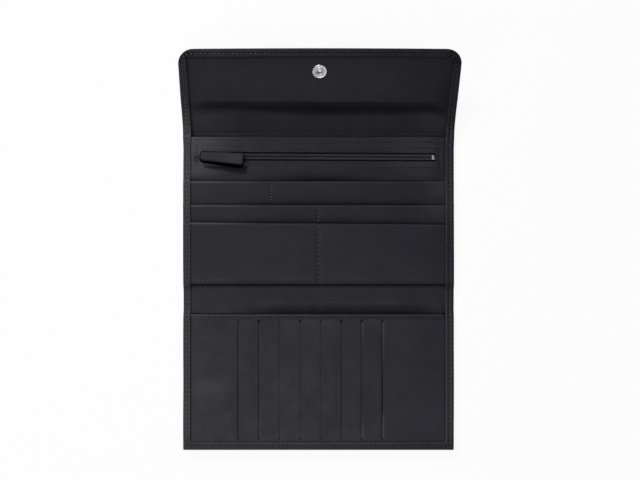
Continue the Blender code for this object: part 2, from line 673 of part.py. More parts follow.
def make_front_panel():
    cover_span = (-FRONT_HEIGHT, -CREASE_GAP / 2)
    far, near = -FRONT_HEIGHT + BINDING_LEATHER + LAYER_GAP, -FOLD_RELIEF
    snap = (0.0, -SNAP_FROM_FRONT_CREASE)
    cover = outline_mesh(
        "front_cover",
        [rectangle(FULL_WIDTH, cover_span), circle(snap, POST_RADIUS + LAYER_GAP)],
        -COVER_LEATHER,
        0.0,
    )
    add("front_cover", cover, FRONT, COVER)
    board = outline_mesh(
        "front_stiffener",
        [rectangle(SHEET_WIDTH, (far, near)), circle(snap, POST_HEAD_RADIUS + LAYER_GAP)],
        STIFFENER_LEVEL,
        STIFFENER_LEVEL + STIFFENER_BOARD,
    )
    add("front_stiffener", board, FRONT, BOARD)
    sheet("front_lining", FRONT, LINING, SHEET_WIDTH, (far, near), LINING_LEVEL, LINING_LEATHER)
    sheet("card_backing", FRONT, FABRIC, SHEET_WIDTH, (far, near), CARD_BACKING_LEVEL, POCKET_FABRIC)
    slits = [FIRST_SLIT_X + SLIT_PITCH * index for index in range(CARD_SLITS)]
    card_span = (-SLIT_START - SLIT_LENGTH - CARD_POCKET_MARGIN, -SLIT_START + CARD_POCKET_MARGIN)
    for index, x in enumerate(slits):
        level = FIRST_CARD_LEVEL + CARD_LEVEL_PITCH * (index % CARD_LEVELS)
        pocket = (x - CARD_POCKET_MARGIN, min(x + CARD_POCKET_DEPTH, SHEET_HALF_WIDTH))
        sheet(f"card_pocket_{index + 1}", FRONT, FABRIC, pocket, card_span, level, CARD_FABRIC)
    panel = outline_mesh(
        "card_slot_panel",
        [rectangle(SHEET_WIDTH, (far, near)), *(slit_outline(x) for x in slits)],
        SLOT_PANEL_LEVEL,
        SLOT_PANEL_TOP,
    )
    add("card_slot_panel", panel, FRONT, PANEL)
    for name, side in SIDES:
        side_binding(f"front_binding_{name}", FRONT, side, -FRONT_HEIGHT, near, [(far, SLOT_PANEL_TOP)])
    leg = SLOT_PANEL_TOP + LAYER_GAP
    strip = [
        (-FRONT_HEIGHT, LAYER_GAP),
        (-FRONT_HEIGHT + BINDING_LEATHER, LAYER_GAP),
        (-FRONT_HEIGHT + BINDING_LEATHER, leg),
        (-FRONT_HEIGHT + BINDING_WIDTH, leg),
        (-FRONT_HEIGHT + BINDING_WIDTH, leg + BINDING_LEATHER),
        (-FRONT_HEIGHT, leg + BINDING_LEATHER),
    ]
    half_length = HALF_WIDTH - BINDING_WIDTH - LAYER_GAP
    bottom = outline_mesh("front_binding_bottom", [strip], -half_length, half_length, ALONG_X)
    add("front_binding_bottom", bottom, FRONT, BINDING)


def make_snap_stud():
    place = (0.0, -SNAP_FROM_FRONT_CREASE, 0.0)
    seat = -COVER_LEATHER - LAYER_GAP
    tip = -STUD_TIP
    head = tip + STUD_HEAD_HEIGHT
    bore = POST_RADIUS + LAYER_GAP
    bore_end = tip + STUD_HEAD_HEIGHT / 2
    stud = [
        (0.0, bore_end),
        (bore, bore_end),
        (bore, seat),
        (STUD_FLANGE_RADIUS, seat),
        (STUD_FLANGE_RADIUS, seat - STUD_FLANGE),
        (STUD_NECK_RADIUS, seat - STUD_FLANGE),
        (STUD_NECK_RADIUS, head),
        (STUD_HEAD_RADIUS, head - STUD_HEAD_HEIGHT / 3),
        (STUD_HEAD_RADIUS, head - STUD_HEAD_HEIGHT / 2),
        (STUD_NECK_RADIUS, tip + STUD_HEAD_HEIGHT / 8),
        (STUD_NECK_RADIUS / 2, tip),
        (0.0, tip),
    ]
    turned("snap_stud", FRONT, BRIGHT_METAL, stud, place)
    post_head = STIFFENER_LEVEL + STIFFENER_BOARD
    post = [
        (0.0, post_head),
        (POST_HEAD_RADIUS, post_head),
        (POST_HEAD_RADIUS, STIFFENER_LEVEL),
        (POST_RADIUS, STIFFENER_LEVEL),
        (POST_RADIUS, bore_end + LAYER_GAP),
        (0.0, bore_end + LAYER_GAP),
    ]
    turned("snap_post", FRONT, BRIGHT_METAL, post, place)


make_back_panel()
make_zip()
make_slider()
make_pull_tab()
make_spine("top_spine", TOP_SPINE, TOP_SPINE_HEIGHT, 1)
make_flap()
make_snap_socket()
make_spine("bottom_spine", BOTTOM_SPINE, BOTTOM_SPINE_HEIGHT, -1)
make_front_panel()
make_snap_stud()
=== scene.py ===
"""Looks of the open travel document wallet: turned leather edges, linings, zip, card slits, stitches, snap.

A place on the opened leather is given by x (across), run (along the leather, 0 at the middle of the back
panel and growing towards the flap) and a height above the inner face of the covers. A shade paints light
into a place's colour: a painted highlight (up to 1) or painted shade in hollows, creases and gaps (down to
-1).
"""

import functools
import json
import math

import bmesh
import bpy
import numpy as np
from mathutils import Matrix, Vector


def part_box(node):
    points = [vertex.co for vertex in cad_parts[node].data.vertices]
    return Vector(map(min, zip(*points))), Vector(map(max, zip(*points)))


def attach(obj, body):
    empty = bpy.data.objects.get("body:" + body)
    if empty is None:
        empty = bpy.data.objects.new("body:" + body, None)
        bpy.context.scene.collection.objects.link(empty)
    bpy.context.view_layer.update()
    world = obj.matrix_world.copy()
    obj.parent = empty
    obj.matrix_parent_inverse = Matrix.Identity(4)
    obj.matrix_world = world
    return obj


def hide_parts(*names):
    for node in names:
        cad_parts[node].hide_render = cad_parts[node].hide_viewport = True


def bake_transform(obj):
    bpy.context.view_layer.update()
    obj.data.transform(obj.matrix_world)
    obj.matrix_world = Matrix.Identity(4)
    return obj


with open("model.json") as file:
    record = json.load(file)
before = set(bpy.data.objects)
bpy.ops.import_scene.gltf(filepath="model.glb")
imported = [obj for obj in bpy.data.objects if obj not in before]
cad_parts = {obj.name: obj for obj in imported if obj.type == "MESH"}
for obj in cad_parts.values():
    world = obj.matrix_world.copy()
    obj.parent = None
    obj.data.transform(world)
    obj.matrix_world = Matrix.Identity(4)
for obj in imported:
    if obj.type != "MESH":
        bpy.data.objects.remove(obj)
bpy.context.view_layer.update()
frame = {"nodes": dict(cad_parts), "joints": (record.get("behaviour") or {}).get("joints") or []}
MM = 0.001
WELD = 1e-6

# Half width, thickness, creases, free ends and splits of the leather, from the frame
JOINTS = {joint["name"]: joint for joint in frame["joints"]}
NODES = frame["nodes"]
TOP_CREASE, FLAP_CREASE, BOTTOM_CREASE, FRONT_CREASE = (
    Vector(JOINTS[name]["pos_m"])
    for name in ("top_spine_fold", "flap_fold", "bottom_spine_fold", "front_fold")
)
LEAN = FLAP_CREASE - TOP_CREASE
FLAP_TILT = math.atan2(LEAN.z, LEAN.y)
FRONT_TILT = math.radians(90 - JOINTS["front_fold"]["range_deg"][1])
BASE = TOP_CREASE.z
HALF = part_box("back_cover")[1].x
SHEET_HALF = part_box("zip_panel")[1].x
COVER_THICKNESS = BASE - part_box("back_cover")[0].z
TOP = TOP_CREASE.y
FLAP = TOP + LEAN.length
FLAP_END = FLAP + (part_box("flap_cover")[1].z - FLAP_CREASE.z) / math.sin(FLAP_TILT)
BOTTOM = BOTTOM_CREASE.y
FRONT = FRONT_CREASE.y
FRONT_END = FRONT - (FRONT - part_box("front_cover")[0].y) / math.cos(FRONT_TILT)
FOLDS = {"top_spine_fold": TOP, "flap_fold": FLAP, "bottom_spine_fold": BOTTOM, "front_fold": FRONT}
MOUTHS = {name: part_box(name)[1].y for name in ("pocket_upper", "pocket_middle", "pocket_lower")}
PILE_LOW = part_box("zip_panel")[0].y + 0.5 * MM
PILE_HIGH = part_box("zip_panel")[1].y + 0.4 * MM
TOP_SPLIT = (TOP + FLAP) / 2
BACK_SPLIT = MOUTHS["pocket_middle"]
BOTTOM_SPLIT = (BOTTOM + FRONT) / 2


def heights(node, crease=TOP_CREASE, tilt=0.0):
    """Lowest and highest height of a node above the inner face of its panel's cover."""
    up = Vector((0.0, -math.sin(tilt), math.cos(tilt)))
    above = [(vertex.co - crease).dot(up) for vertex in NODES[node].data.vertices]
    return min(above), max(above)


def front_heights(node):
    return heights(node, FRONT_CREASE, -FRONT_TILT)


def course(points, unit=1.0):
    """Runs and values of a bent line through the points, as np.interp takes them."""
    runs, values = zip(*points)
    return runs, [value * unit for value in values]


def mm(*marks):
    """Millimetres as metres."""
    return tuple(mark * MM for mark in marks)


def mirrored(marks):
    return [-mark for mark in marks]


# Stitched edge strips: sizes, corners, the height of their top and the light painted on them along the run
STRIP_WIDTH = 6.9 * MM
STRIP_THICKNESS = 0.6 * MM
STRIP_WALL = 1.0 * MM
STRIP_CROWN = 0.14 * MM
STRIP_WALL_SHADE = -0.4
EDGE_ROUND = 1.3 * MM
SEAM_FROM_EDGE = 3.3 * MM
LEFT_TRIM = 0.9 * MM
END_TRIM = 0.6 * MM
CORNER_TRIM = 1.2 * MM
INSET = 16 * MM
FLAP_CORNER = 12 * MM
FRONT_CORNER = 1.0 * MM
LEFT_SQUARING = 1.8
PLEAT_HEIGHT = 0.38 * MM
PLEAT_RATE = 20
STRIP_TOP = course((
    (FRONT_END, 5.4), (FRONT - 4 * MM, 5.3), (FRONT + 2.5 * MM, 3.6), (BOTTOM - 2.5 * MM, 3.6),
    (BOTTOM + 4 * MM, 7.2), (MOUTHS["pocket_lower"] - 1.5 * MM, 7.2), (MOUTHS["pocket_lower"] + 2 * MM, 6.6),
    (MOUTHS["pocket_middle"] - 1.5 * MM, 6.5), (MOUTHS["pocket_middle"] + 2 * MM, 5.9),
    (MOUTHS["pocket_upper"] - 1.5 * MM, 5.8), (MOUTHS["pocket_upper"] + 2 * MM, 5.2), (TOP - 3 * MM, 5.0),
    (TOP + 9 * MM, 2.4), (FLAP - 3 * MM, 1.9), (FLAP + 3 * MM, 2.3), (FLAP_END, 2.3),
), MM)
# Painted light on the strips along the run, at the left and at the right edge: painted sheen above 0, painted
# shade below 0
LEFT_PAINTED_LIGHT = course((
    (FRONT_END, 0.05), (FRONT_END + 7 * MM, 0.07), (FRONT_END + 12 * MM, 0.46), (FRONT, 0.38), (BOTTOM, 0.28),
    (BACK_SPLIT - 15 * MM, 0.34), (BACK_SPLIT, 0.48), (BACK_SPLIT + 20 * MM, 0.70), (TOP - 8 * MM, 0.60),
    (TOP + 15 * MM, 0.32), (FLAP, 0.08), (FLAP_END - 10 * MM, 0.06), (FLAP_END - 4 * MM, -0.12),
))
RIGHT_PAINTED_LIGHT = course((
    (FRONT_END, -0.10), (FRONT_END + 12 * MM, 0.22), (FRONT, 0.14), (BOTTOM, 0.0),
    (BACK_SPLIT - 25 * MM, -0.06), (BACK_SPLIT, 0.18), (TOP, 0.02), (FLAP, -0.20),
    (FLAP_END - 16 * MM, -0.35), (FLAP_END - 9 * MM, -0.55), (FLAP_END - 4 * MM, -0.37),
))

# Soft bends and small departures of the leather from the straight
BEND_REACH = 5.0 * MM
FOLD_ROUND = 2.2 * MM
FREE_EDGE_BOW = 0.6 * MM
FLAP_SWAY = 1.15 * MM
EDGE_SPREAD = course((
    (FRONT_END, -0.30), (FRONT_END + 30 * MM, 0.0), (FRONT - 35 * MM, 0.25), (BOTTOM - 2 * MM, 0.45),
    (BOTTOM + 5 * MM, 0.12), (BACK_SPLIT - 30 * MM, 0.17), (BACK_SPLIT, 0.38), (TOP - 12 * MM, 0.34),
    (TOP - 2 * MM, 0.85), (FLAP, 0.78), (FLAP_END, 0.48),
), MM)

# Stitches, and the close grid lines of grooves, lips, dips behind pocket mouths and gaps beside the strips
STITCH_PITCH = 3.5 * MM
STITCH_LENGTH = 2.1 * MM
STITCH_RADIUS = 0.55 * MM
STITCH_SLANT = math.radians(5)
ZIGZAG_STEP = 2.4 * MM
ZIGZAG_HALF = 1.7 * MM
GROOVE_DEPTH = 0.32 * MM
GROOVE_REACH = 0.60 * MM
GROOVE_LINES = mm(-1.2, -0.65, -0.3, 0.0, 0.3, 0.65, 1.2)
LIP_LINES = mm(0.0, 0.05, 0.15, 0.3, 0.5, 0.8, 1.3, 2.0, 3.0, 5.0)
DIP_LINES = mm(-2.5, -1.4, -0.6, 0.0, 0.5, 1.0, 1.6, 2.3, 3.2, 4.5, 6.5)
DIP_DEPTH = 0.7 * MM
DIP_REACH = 1.7 * MM
# Reach of the painted highlights and painted shade along edges
EDGE_FALLOFF_REACH = 0.6 * MM
GAP_DEPTH = 0.25 * MM
# Strength of the painted shade in the gaps beside the strips
GAP_SHADE = 0.25
GAP_REACH = 0.8 * MM
GAP_LINES = mm(-0.7, -0.3, 0.1, 0.5, 0.9, 1.4, 2.2, 3.4)
GAP_FEATURES = ((STRIP_WIDTH - HALF, GAP_LINES), (HALF - STRIP_WIDTH, mirrored(GAP_LINES)))
LEFT_SHEEN_REACH = 20 * MM
RIPPLE_WAVES = 7


# Curves that fade over the leather

def smooth(value, width=1.0):
    """0 up to 0 and 1 from the width on, with a soft rise in between."""
    share = np.clip(value / width, 0, 1)
    return share * share * (3 - 2 * share)


def rightwards(x, start, width):
    """0 left of start and 1 a width further right, both shares of half the wallet's width."""
    return smooth(x / HALF - start, width)


def bell(distance, reach):
    return np.exp(-((distance / reach) ** 2))


def decay(distance, reach):
    return np.exp(-np.maximum(distance, 0) / reach)


def ripple(x, run, length, seed):
    """Soft seeded unevenness, about one unit high, of that wavelength."""
    draw = np.random.default_rng(seed)
    total = np.zeros(np.broadcast(x, run).shape)
    for _ in range(RIPPLE_WAVES):
        heading, phase = draw.uniform(0, 2 * math.pi, 2)
        rate = 2 * math.pi / (length * draw.uniform(0.6, 1.6))
        total = total + np.sin(rate * (x * math.cos(heading) + run * math.sin(heading)) + phase)
    return total / (RIPPLE_WAVES / 2)


def channel(distance):
    """1 in the middle of the channel that a row of stitches pulls into the leather, 0 beside it."""
    return bell(distance, GROOVE_REACH)


def groove(distance):
    return -GROOVE_DEPTH * channel(distance)


def edge_falloff(distance):
    """1 at an edge, falling off away from it; it places painted highlights on lips, painted shade beside
    slits and the pull tab's dark edge.
    """
    return decay(distance, EDGE_FALLOFF_REACH)


def dip(distance):
    """1 under a pocket's mouth, where the leather behind it sinks in, falling off before the mouth."""
    return decay(distance, DIP_REACH)


def mouth_shade(x, distance):
    """Painted shade before a pocket's mouth: narrow at the left, wider in the middle and at the right."""
    share = rightwards(x, -0.75, 0.6) * (1 - 0.4 * rightwards(x, 0.6, 0.3))
    return (0.65 + 0.2 * share) * decay(distance, (2.4 + 2.1 * share) * MM)


def side_gap(x, left_trim=LEFT_TRIM, right_share=0.45):
    """1 in the gap beside the left strip, where the leather sinks and painted shade darkens it, falling off
    further in; a share of it beside the right one.
    """
    inside = HALF - STRIP_WIDTH + np.where(x < 0, left_trim, 0.0) - np.abs(x)
    return decay(inside, GAP_REACH) * np.where(x < 0, 1.0, right_share)


def left_painted_sheen(x, reach=LEFT_SHEEN_REACH):
    """1 at the left edge, where a painted sheen brightens the leather, falling off to the right."""
    return bell(x + HALF - STRIP_WIDTH, reach)


def border_fade(x, width):
    """0 beside the edge strips, 1 further in."""
    return smooth(HALF - STRIP_WIDTH - np.abs(x), width)


def lip(distance, thickness):
    """Share of the full thickness at a distance from a rounded free edge."""
    return np.sqrt(1 - (1 - np.clip(distance / (thickness / 2), 0, 1)) ** 2)


# Mapping and mesh helpers

def sway(run):
    """How far the leather drifts to the right along the top spine and the flap."""
    return FLAP_SWAY * np.clip((run - TOP) / (FLAP_END - TOP), 0, 1)


def lay(x, run, height):
    """World points of places on the opened leather, along its bends."""
    x, run, height = (np.asarray(part, float) for part in np.broadcast_arrays(x, run, height))
    along_flap = np.clip((run - FLAP) / (FLAP_END - FLAP), 0, 1)
    x = x * (1 + np.interp(run, *EDGE_SPREAD) / HALF)
    x = x + sway(run)
    run = run - FREE_EDGE_BOW * (x / HALF) ** 2 * along_flap
    start = np.where(run > TOP, TOP, np.where(run < FRONT, FRONT, 0.0))
    slope = np.where(run > TOP, FLAP_TILT, np.where(run < FRONT, -FRONT_TILT, 0.0))
    y = start + (run - start) * np.cos(slope)
    z = BASE + (run - start) * np.sin(slope)
    share = np.clip((run - TOP + FOLD_ROUND) / (2 * FOLD_ROUND), 0, 1)
    bending = np.abs(run - TOP) < FOLD_ROUND
    bent_y = TOP - FOLD_ROUND * (1 - share) ** 2 + FOLD_ROUND * share**2 * math.cos(FLAP_TILT)
    bent_z = BASE + FOLD_ROUND * share**2 * math.sin(FLAP_TILT)
    y = np.where(bending, bent_y, y)
    z = np.where(bending, bent_z, z)
    front_share = np.clip((FRONT + FOLD_ROUND - run) / (2 * FOLD_ROUND), 0, 1)
    turn = np.arctan2(share * math.sin(FLAP_TILT), 1 - share + share * math.cos(FLAP_TILT))
    turn = turn - FRONT_TILT * front_share
    return np.stack((x, y - np.sin(turn) * height, z + np.cos(turn) * height), axis=-1)


def middles(marks):
    return (marks[1:] + marks[:-1]) / 2


def lines(low, high, step, *features):
    """Grid lines from low to high about step apart, with each feature's own close lines."""
    marks = np.linspace(low, high, max(2, round((high - low) / step) + 1))
    for place, offsets in features:
        close = place + np.array(offsets)
        clear = (marks < close.min() - step / 5) | (marks > close.max() + step / 5)
        marks = np.concatenate((marks[clear], close))
    marks = np.concatenate((marks, (low, high)))
    return np.unique(np.round(marks[(marks >= low) & (marks <= high)], 7))


def add_object(name, data):
    made = bpy.data.objects.new(name, data)
    bpy.context.scene.collection.objects.link(made)
    return made


def make(name, points, faces, material, sharp=40, close=True, shade=None):
    """Welded object from points and faces; open rims are capped and all faces turned outwards."""
    shape = bmesh.new()
    layer = shape.verts.layers.float.new("shade")
    corners = [shape.verts.new(point) for point in points]
    if shade is not None:
        for corner, value in zip(corners, np.ravel(shade)):
            corner[layer] = value
    for face in faces:
        shape.faces.new([corners[index] for index in face])
    bmesh.ops.remove_doubles(shape, verts=shape.verts, dist=WELD)
    loose = [corner for corner in shape.verts if not corner.link_faces]
    bmesh.ops.delete(shape, geom=loose, context="VERTS")
    if close:
        bmesh.ops.holes_fill(shape, edges=[edge for edge in shape.edges if edge.is_boundary], sides=0)
    bmesh.ops.recalc_face_normals(shape, faces=shape.faces)
    mesh = bpy.data.meshes.new(name)
    shape.to_mesh(mesh)
    shape.free()
    mesh.shade_smooth()
    mesh.set_sharp_from_angle(angle=math.radians(sharp))
    mesh.materials.append(material)
    return add_object(name, mesh)


def grid_faces(rows, cols, first=0):
    faces = []
    for row in range(rows - 1):
        for col in range(cols - 1):
            corner = first + row * cols + col
            faces.append((corner, corner + 1, corner + cols + 1, corner + cols))
    return faces


def ring_faces(rings, count, closed=False):
    """Faces between rings of count points; the last ring meets the first, or both ends get a cap."""
    faces = []
    for ring in range(rings if closed else rings - 1):
        first, after = ring * count, (ring + 1) % rings * count
        for index in range(count):
            follow = (index + 1) % count
            faces.append((first + index, first + follow, after + follow, after + index))
    if not closed:
        faces += [tuple(range(count))[::-1], tuple(range((rings - 1) * count, rings * count))]
    return faces


def slab(name, x, run, bottom, top, material, keep=None, shade=None):
    """Closed sheet over a grid of places, between two heights; keep says which cells are leather."""
    rows, cols = x.shape
    if keep is None:
        keep = np.ones((rows - 1, cols - 1), bool)
    padded = np.pad(keep, 1)
    count = rows * cols
    faces = []
    for row, col in np.argwhere(keep):
        a = row * cols + col
        b, c, d = a + 1, a + cols + 1, a + cols
        faces.append((a, b, c, d))
        faces.append((d + count, c + count, b + count, a + count))
        beside = (
            (padded[row, col + 1], a, b),
            (padded[row + 1, col + 2], b, c),
            (padded[row + 2, col + 1], c, d),
            (padded[row + 1, col], d, a),
        )
        for kept, first, second in beside:
            if not kept:
                faces.append((second, first, first + count, second + count))
    points = np.concatenate((lay(x, run, top).reshape(-1, 3), lay(x, run, bottom).reshape(-1, 3)))
    if shade is not None:
        shade = np.concatenate((np.ravel(shade), np.zeros(count)))
    return make(name, points, faces, material, shade=shade)


def turned(name, profile, x, run, material, steps=64):
    """Round shape about the leather's normal at a place, from a closed profile of (radius, height)."""
    radius, height = np.transpose(profile)
    points = []
    for step in range(steps):
        angle = 2 * math.pi * step / steps
        points.extend(lay(x + radius * math.cos(angle), run + radius * math.sin(angle), height))
    return make(name, points, ring_faces(steps, len(profile), closed=True), material, sharp=30)


OFF_PATH = (0.31, 0.22, 0.93)


def tube_mesh(path, radius, sides):
    """Points and faces of a round tube along a path of world points that never runs along OFF_PATH."""
    path = np.asarray(path, float)
    ahead = np.gradient(path, axis=0)
    ahead /= np.linalg.norm(ahead, axis=1)[:, None]
    across = np.cross(ahead, OFF_PATH)
    across /= np.linalg.norm(across, axis=1)[:, None]
    up = np.cross(across, ahead)
    angles = np.linspace(0, 2 * math.pi, sides, endpoint=False)
    points = []
    for place, side, rise, size in zip(path, across, up, np.broadcast_to(radius, len(path))):
        points.extend(place + size * (math.cos(angle) * side + math.sin(angle) * rise) for angle in angles)
    return points, ring_faces(len(path), sides)


def block_mesh(low, high, radius):
    """Points and faces of a block with rounded edges between two world corners."""
    shape = bmesh.new()
    bmesh.ops.create_cube(shape, size=1.0)
    low, high = Vector(low), Vector(high)
    bmesh.ops.scale(shape, vec=high - low, verts=shape.verts)
    bmesh.ops.translate(shape, vec=(low + high) / 2, verts=shape.verts)
    bmesh.ops.bevel(
        shape, geom=shape.edges[:], offset=radius, offset_type="OFFSET", segments=3, profile=0.5,
        affect="EDGES",
    )
    points = [corner.co.copy() for corner in shape.verts]
    shape.verts.index_update()
    faces = [[corner.index for corner in face.verts] for face in shape.faces]
    shape.free()
    return points, faces


def join(meshes):
    points, faces = [], []
    for more_points, more_faces in meshes:
        first = len(points)
        points.extend(more_points)
        faces.extend([tuple(index + first for index in face) for face in more_faces])
    return points, faces


def ride(piece, body, slot, *nodes):
    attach(piece, body)
    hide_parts(*nodes)


def bend(piece, joint, slot, *nodes):
    """Piece that crosses a crease: its transform goes into its mesh and the nodes it replaces are hidden; the
    ends of the soft turn are worked out but not used.
    """
    outwards = BEND_REACH if FOLDS[joint] > 0 else -BEND_REACH
    start, end = (tuple(lay(0.0, FOLDS[joint] + side * outwards, 0.0)) for side in (-1, 1))
    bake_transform(piece)
    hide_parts(*nodes)


# Materials

# Pale colours that painted highlights mix into the leather and into the thread
PAINTED_HIGHLIGHT = (0.050, 0.048, 0.056)
THREAD_HIGHLIGHT = (0.082, 0.078, 0.088)


class Tree:
    """Nodes of a material or of the world, with short calls that add nodes and feed their sockets."""

    def __init__(self, owner):
        owner.use_nodes = True
        self.nodes = owner.node_tree.nodes
        self.links = owner.node_tree.links

    def node(self, kind, settings=(), **sockets):
        made = self.nodes.new(kind)
        for name, value in dict(settings).items():
            setattr(made, name, value)
        for name, value in sockets.items():
            self.feed(made.inputs[name.replace("_", " ")], value)
        return made

    def feed(self, socket, value):
        if isinstance(value, bpy.types.NodeSocket):
            self.links.new(value, socket)
        else:
            socket.default_value = value

    def fill(self, made, *values):
        """First output of a node whose first sockets take the values in order."""
        for socket, value in zip(made.inputs, values):
            self.feed(socket, value)
        return made.outputs[0]

    def calculate(self, operation, *values):
        return self.fill(self.node("ShaderNodeMath", {"operation": operation}), *values)


class Finish(Tree):
    """Material under construction, with the nodes that all finishes use."""

    def __init__(self, name, metallic=0.0, specular=0.5):
        self.material = bpy.data.materials.new(name)
        super().__init__(self.material)
        self.shader = self.nodes["Principled BSDF"]
        self.shader.inputs["Metallic"].default_value = metallic
        self.shader.inputs["Specular IOR Level"].default_value = specular
        self.place = self.node("ShaderNodeTexCoord").outputs["Object"]

    def noise(self, scale, detail=3.0, roughness=0.55):
        made = self.node(
            "ShaderNodeTexNoise", Vector=self.place, Scale=scale, Detail=detail, Roughness=roughness
        )
        return made.outputs["Fac"]

    def cells(self, scale):
        settings = {"feature": "DISTANCE_TO_EDGE"}
        return self.node("ShaderNodeTexVoronoi", settings, Vector=self.place, Scale=scale).outputs["Distance"]

    def wave(self, direction, scale, distortion=0.0):
        settings = {"bands_direction": direction}
        made = self.node(
            "ShaderNodeTexWave", settings, Vector=self.place, Scale=scale, Distortion=distortion
        )
        return made.outputs["Fac"]

    def spread(self, value, low, high, start=0.3, end=0.7):
        made = self.node(
            "ShaderNodeMapRange", Value=value, From_Min=start, From_Max=end, To_Min=low, To_Max=high
        )
        return made.outputs["Result"]

    def mix(self, share, first, second):
        made = self.node("ShaderNodeMix", {"data_type": "RGBA"})
        for index, value in ((0, share), (6, first), (7, second)):
            self.feed(made.inputs[index], (*value, 1.0) if isinstance(value, tuple) else value)
        return made.outputs[2]

    def sum(self, first, second, weight):
        return self.calculate("MULTIPLY_ADD", second, weight, first)

    def shades(self):
        """Shares of painted highlight and of painted shade at a place, from its shade attribute."""
        shade = self.node("ShaderNodeAttribute", {"attribute_name": "shade"}).outputs["Fac"]
        return self.spread(shade, 0.0, 1.0, 0.0, 1.0), self.spread(shade, 0.0, 1.0, 0.0, -1.0)

    def finish(self, colour, roughness, height, strength, depth):
        bump = self.node("ShaderNodeBump", Strength=strength, Distance=depth, Height=height)
        sockets = {"Base Color": colour, "Roughness": roughness, "Normal": bump.outputs["Normal"]}
        for name, value in sockets.items():
            self.feed(self.shader.inputs[name], value)
        return self.material


def tint(colour, share):
    return tuple(part * share for part in colour)


def leather(name, colour, roughness, grain, strength, specular=0.25):
    """Dyed leather: fine cells between creases, cloudy colour and sheen, painted highlights, and painted
    shade that also dulls the sheen.
    """
    finish = Finish(name, specular=specular)
    cloud = finish.spread(finish.noise(38.0, 4.0), 0.0, 1.0)
    mottled = finish.mix(cloud, tint(colour, 0.8), tint(colour, 1.2))
    painted_light, painted_shade_share = finish.shades()
    # Bluish dark colour of the painted shade
    deep_shade = (0.1 * colour[0], 0.1 * colour[1], 0.3 * colour[2])
    shaded = finish.mix(painted_shade_share, finish.mix(painted_light, mottled, PAINTED_HIGHLIGHT), deep_shade)
    worn = finish.spread(finish.noise(90.0, 5.0), roughness - 0.05, roughness + 0.06)
    dull = finish.sum(worn, painted_shade_share, 0.45)
    pores = finish.sum(finish.cells(1.0 / grain), finish.noise(2.6 / grain, 3.0), 0.6)
    return finish.finish(shaded, dull, pores, strength, 0.12 * MM)


def woven(name, colour, roughness, thread_width, specular=0.3):
    """Plain weave of two crossing sets of threads."""
    finish = Finish(name, specular=specular)
    scale = 2 * math.pi / (20 * thread_width)
    weave = finish.sum(finish.wave("X", scale), finish.wave("Y", scale), 1.0)
    faded = finish.mix(finish.spread(weave, 0.0, 1.0, 0.2, 1.8), tint(colour, 0.6), tint(colour, 1.5))
    rough = finish.spread(finish.noise(200.0), roughness - 0.05, roughness + 0.08)
    return finish.finish(faded, rough, weave, 0.5, 0.1 * MM)


def thread_finish(name, colour):
    """Waxed twisted thread, with painted highlights and painted shade from its shade attribute."""
    finish = Finish(name, specular=0.3)
    twist = finish.wave("DIAGONAL", 700.0, 1.0)
    twisted = finish.mix(twist, tint(colour, 0.7), tint(colour, 1.3))
    painted_light, painted_shade_share = finish.shades()
    shaded = finish.mix(painted_shade_share, finish.mix(painted_light, twisted, THREAD_HIGHLIGHT), tint(colour, 0.2))
    return finish.finish(shaded, finish.spread(finish.noise(300.0), 0.52, 0.66), twist, 0.4, 0.06 * MM)


def metal(name, colour, roughness):
    """Plated metal with fine scratches and a cloudy polish."""
    finish = Finish(name, metallic=1.0)
    stained = finish.mix(finish.spread(finish.noise(420.0, 4.0), 0.0, 1.0), tint(colour, 0.82), colour)
    rough = finish.spread(finish.noise(900.0, 5.0), roughness - 0.06, roughness + 0.1)
    return finish.finish(stained, rough, finish.noise(2600.0, 4.0), 0.12, 0.05 * MM)


def board(name, colour):
    """Pressed fibre board."""
    finish = Finish(name, specular=0.2)
    fibre = finish.noise(700.0, 6.0, 0.7)
    speckled = finish.mix(finish.spread(fibre, 0.0, 1.0), tint(colour, 0.7), tint(colour, 1.1))
    return finish.finish(speckled, finish.spread(fibre, 0.8, 0.95), fibre, 0.3, 0.1 * MM)


# Finishes; the numbers of a leather are its roughness, the size of its grain and the grain's strength
STRIP_LEATHER = leather("strip_leather", (0.0074, 0.0064, 0.0122), 0.48, 0.8 * MM, 0.30)
LINING_LEATHER = leather("lining_leather", (0.0066, 0.0057, 0.0110), 0.54, 0.7 * MM, 0.22)
PANEL_LEATHER = leather("panel_leather", (0.0069, 0.0060, 0.0114), 0.50, 0.7 * MM, 0.24)
# Paler copy of the panel leather for the front panel, as painted light
LIT_SLOT_LEATHER = leather("lit_slot_leather", (0.0086, 0.0076, 0.0136), 0.49, 0.7 * MM, 0.24)
# Near-black edge paint; on the pull tab's slanted lower side it also stands in for the tab's shadow
EDGE_PAINT_AND_SHADOW = leather("edge_paint_and_shadow", (0.0012, 0.0011, 0.0014), 0.80, 0.6 * MM, 0.2, specular=0.03)
THREAD = thread_finish("waxed_thread", (0.017, 0.016, 0.021))
COIL = thread_finish("zip_coil", (0.034, 0.032, 0.041))
FABRIC = woven("pocket_fabric", (0.005, 0.005, 0.006), 0.80, 0.25 * MM)
TAPE = woven("zip_tape", (0.003, 0.003, 0.0035), 0.80, 0.5 * MM, 0.10)
BRIGHT = metal("bright_metal", (0.75, 0.75, 0.76), 0.36)
DARK = metal("dark_metal", (0.022, 0.022, 0.024), 0.38)
BOARD = board("stiffener_board", (0.30, 0.27, 0.22))


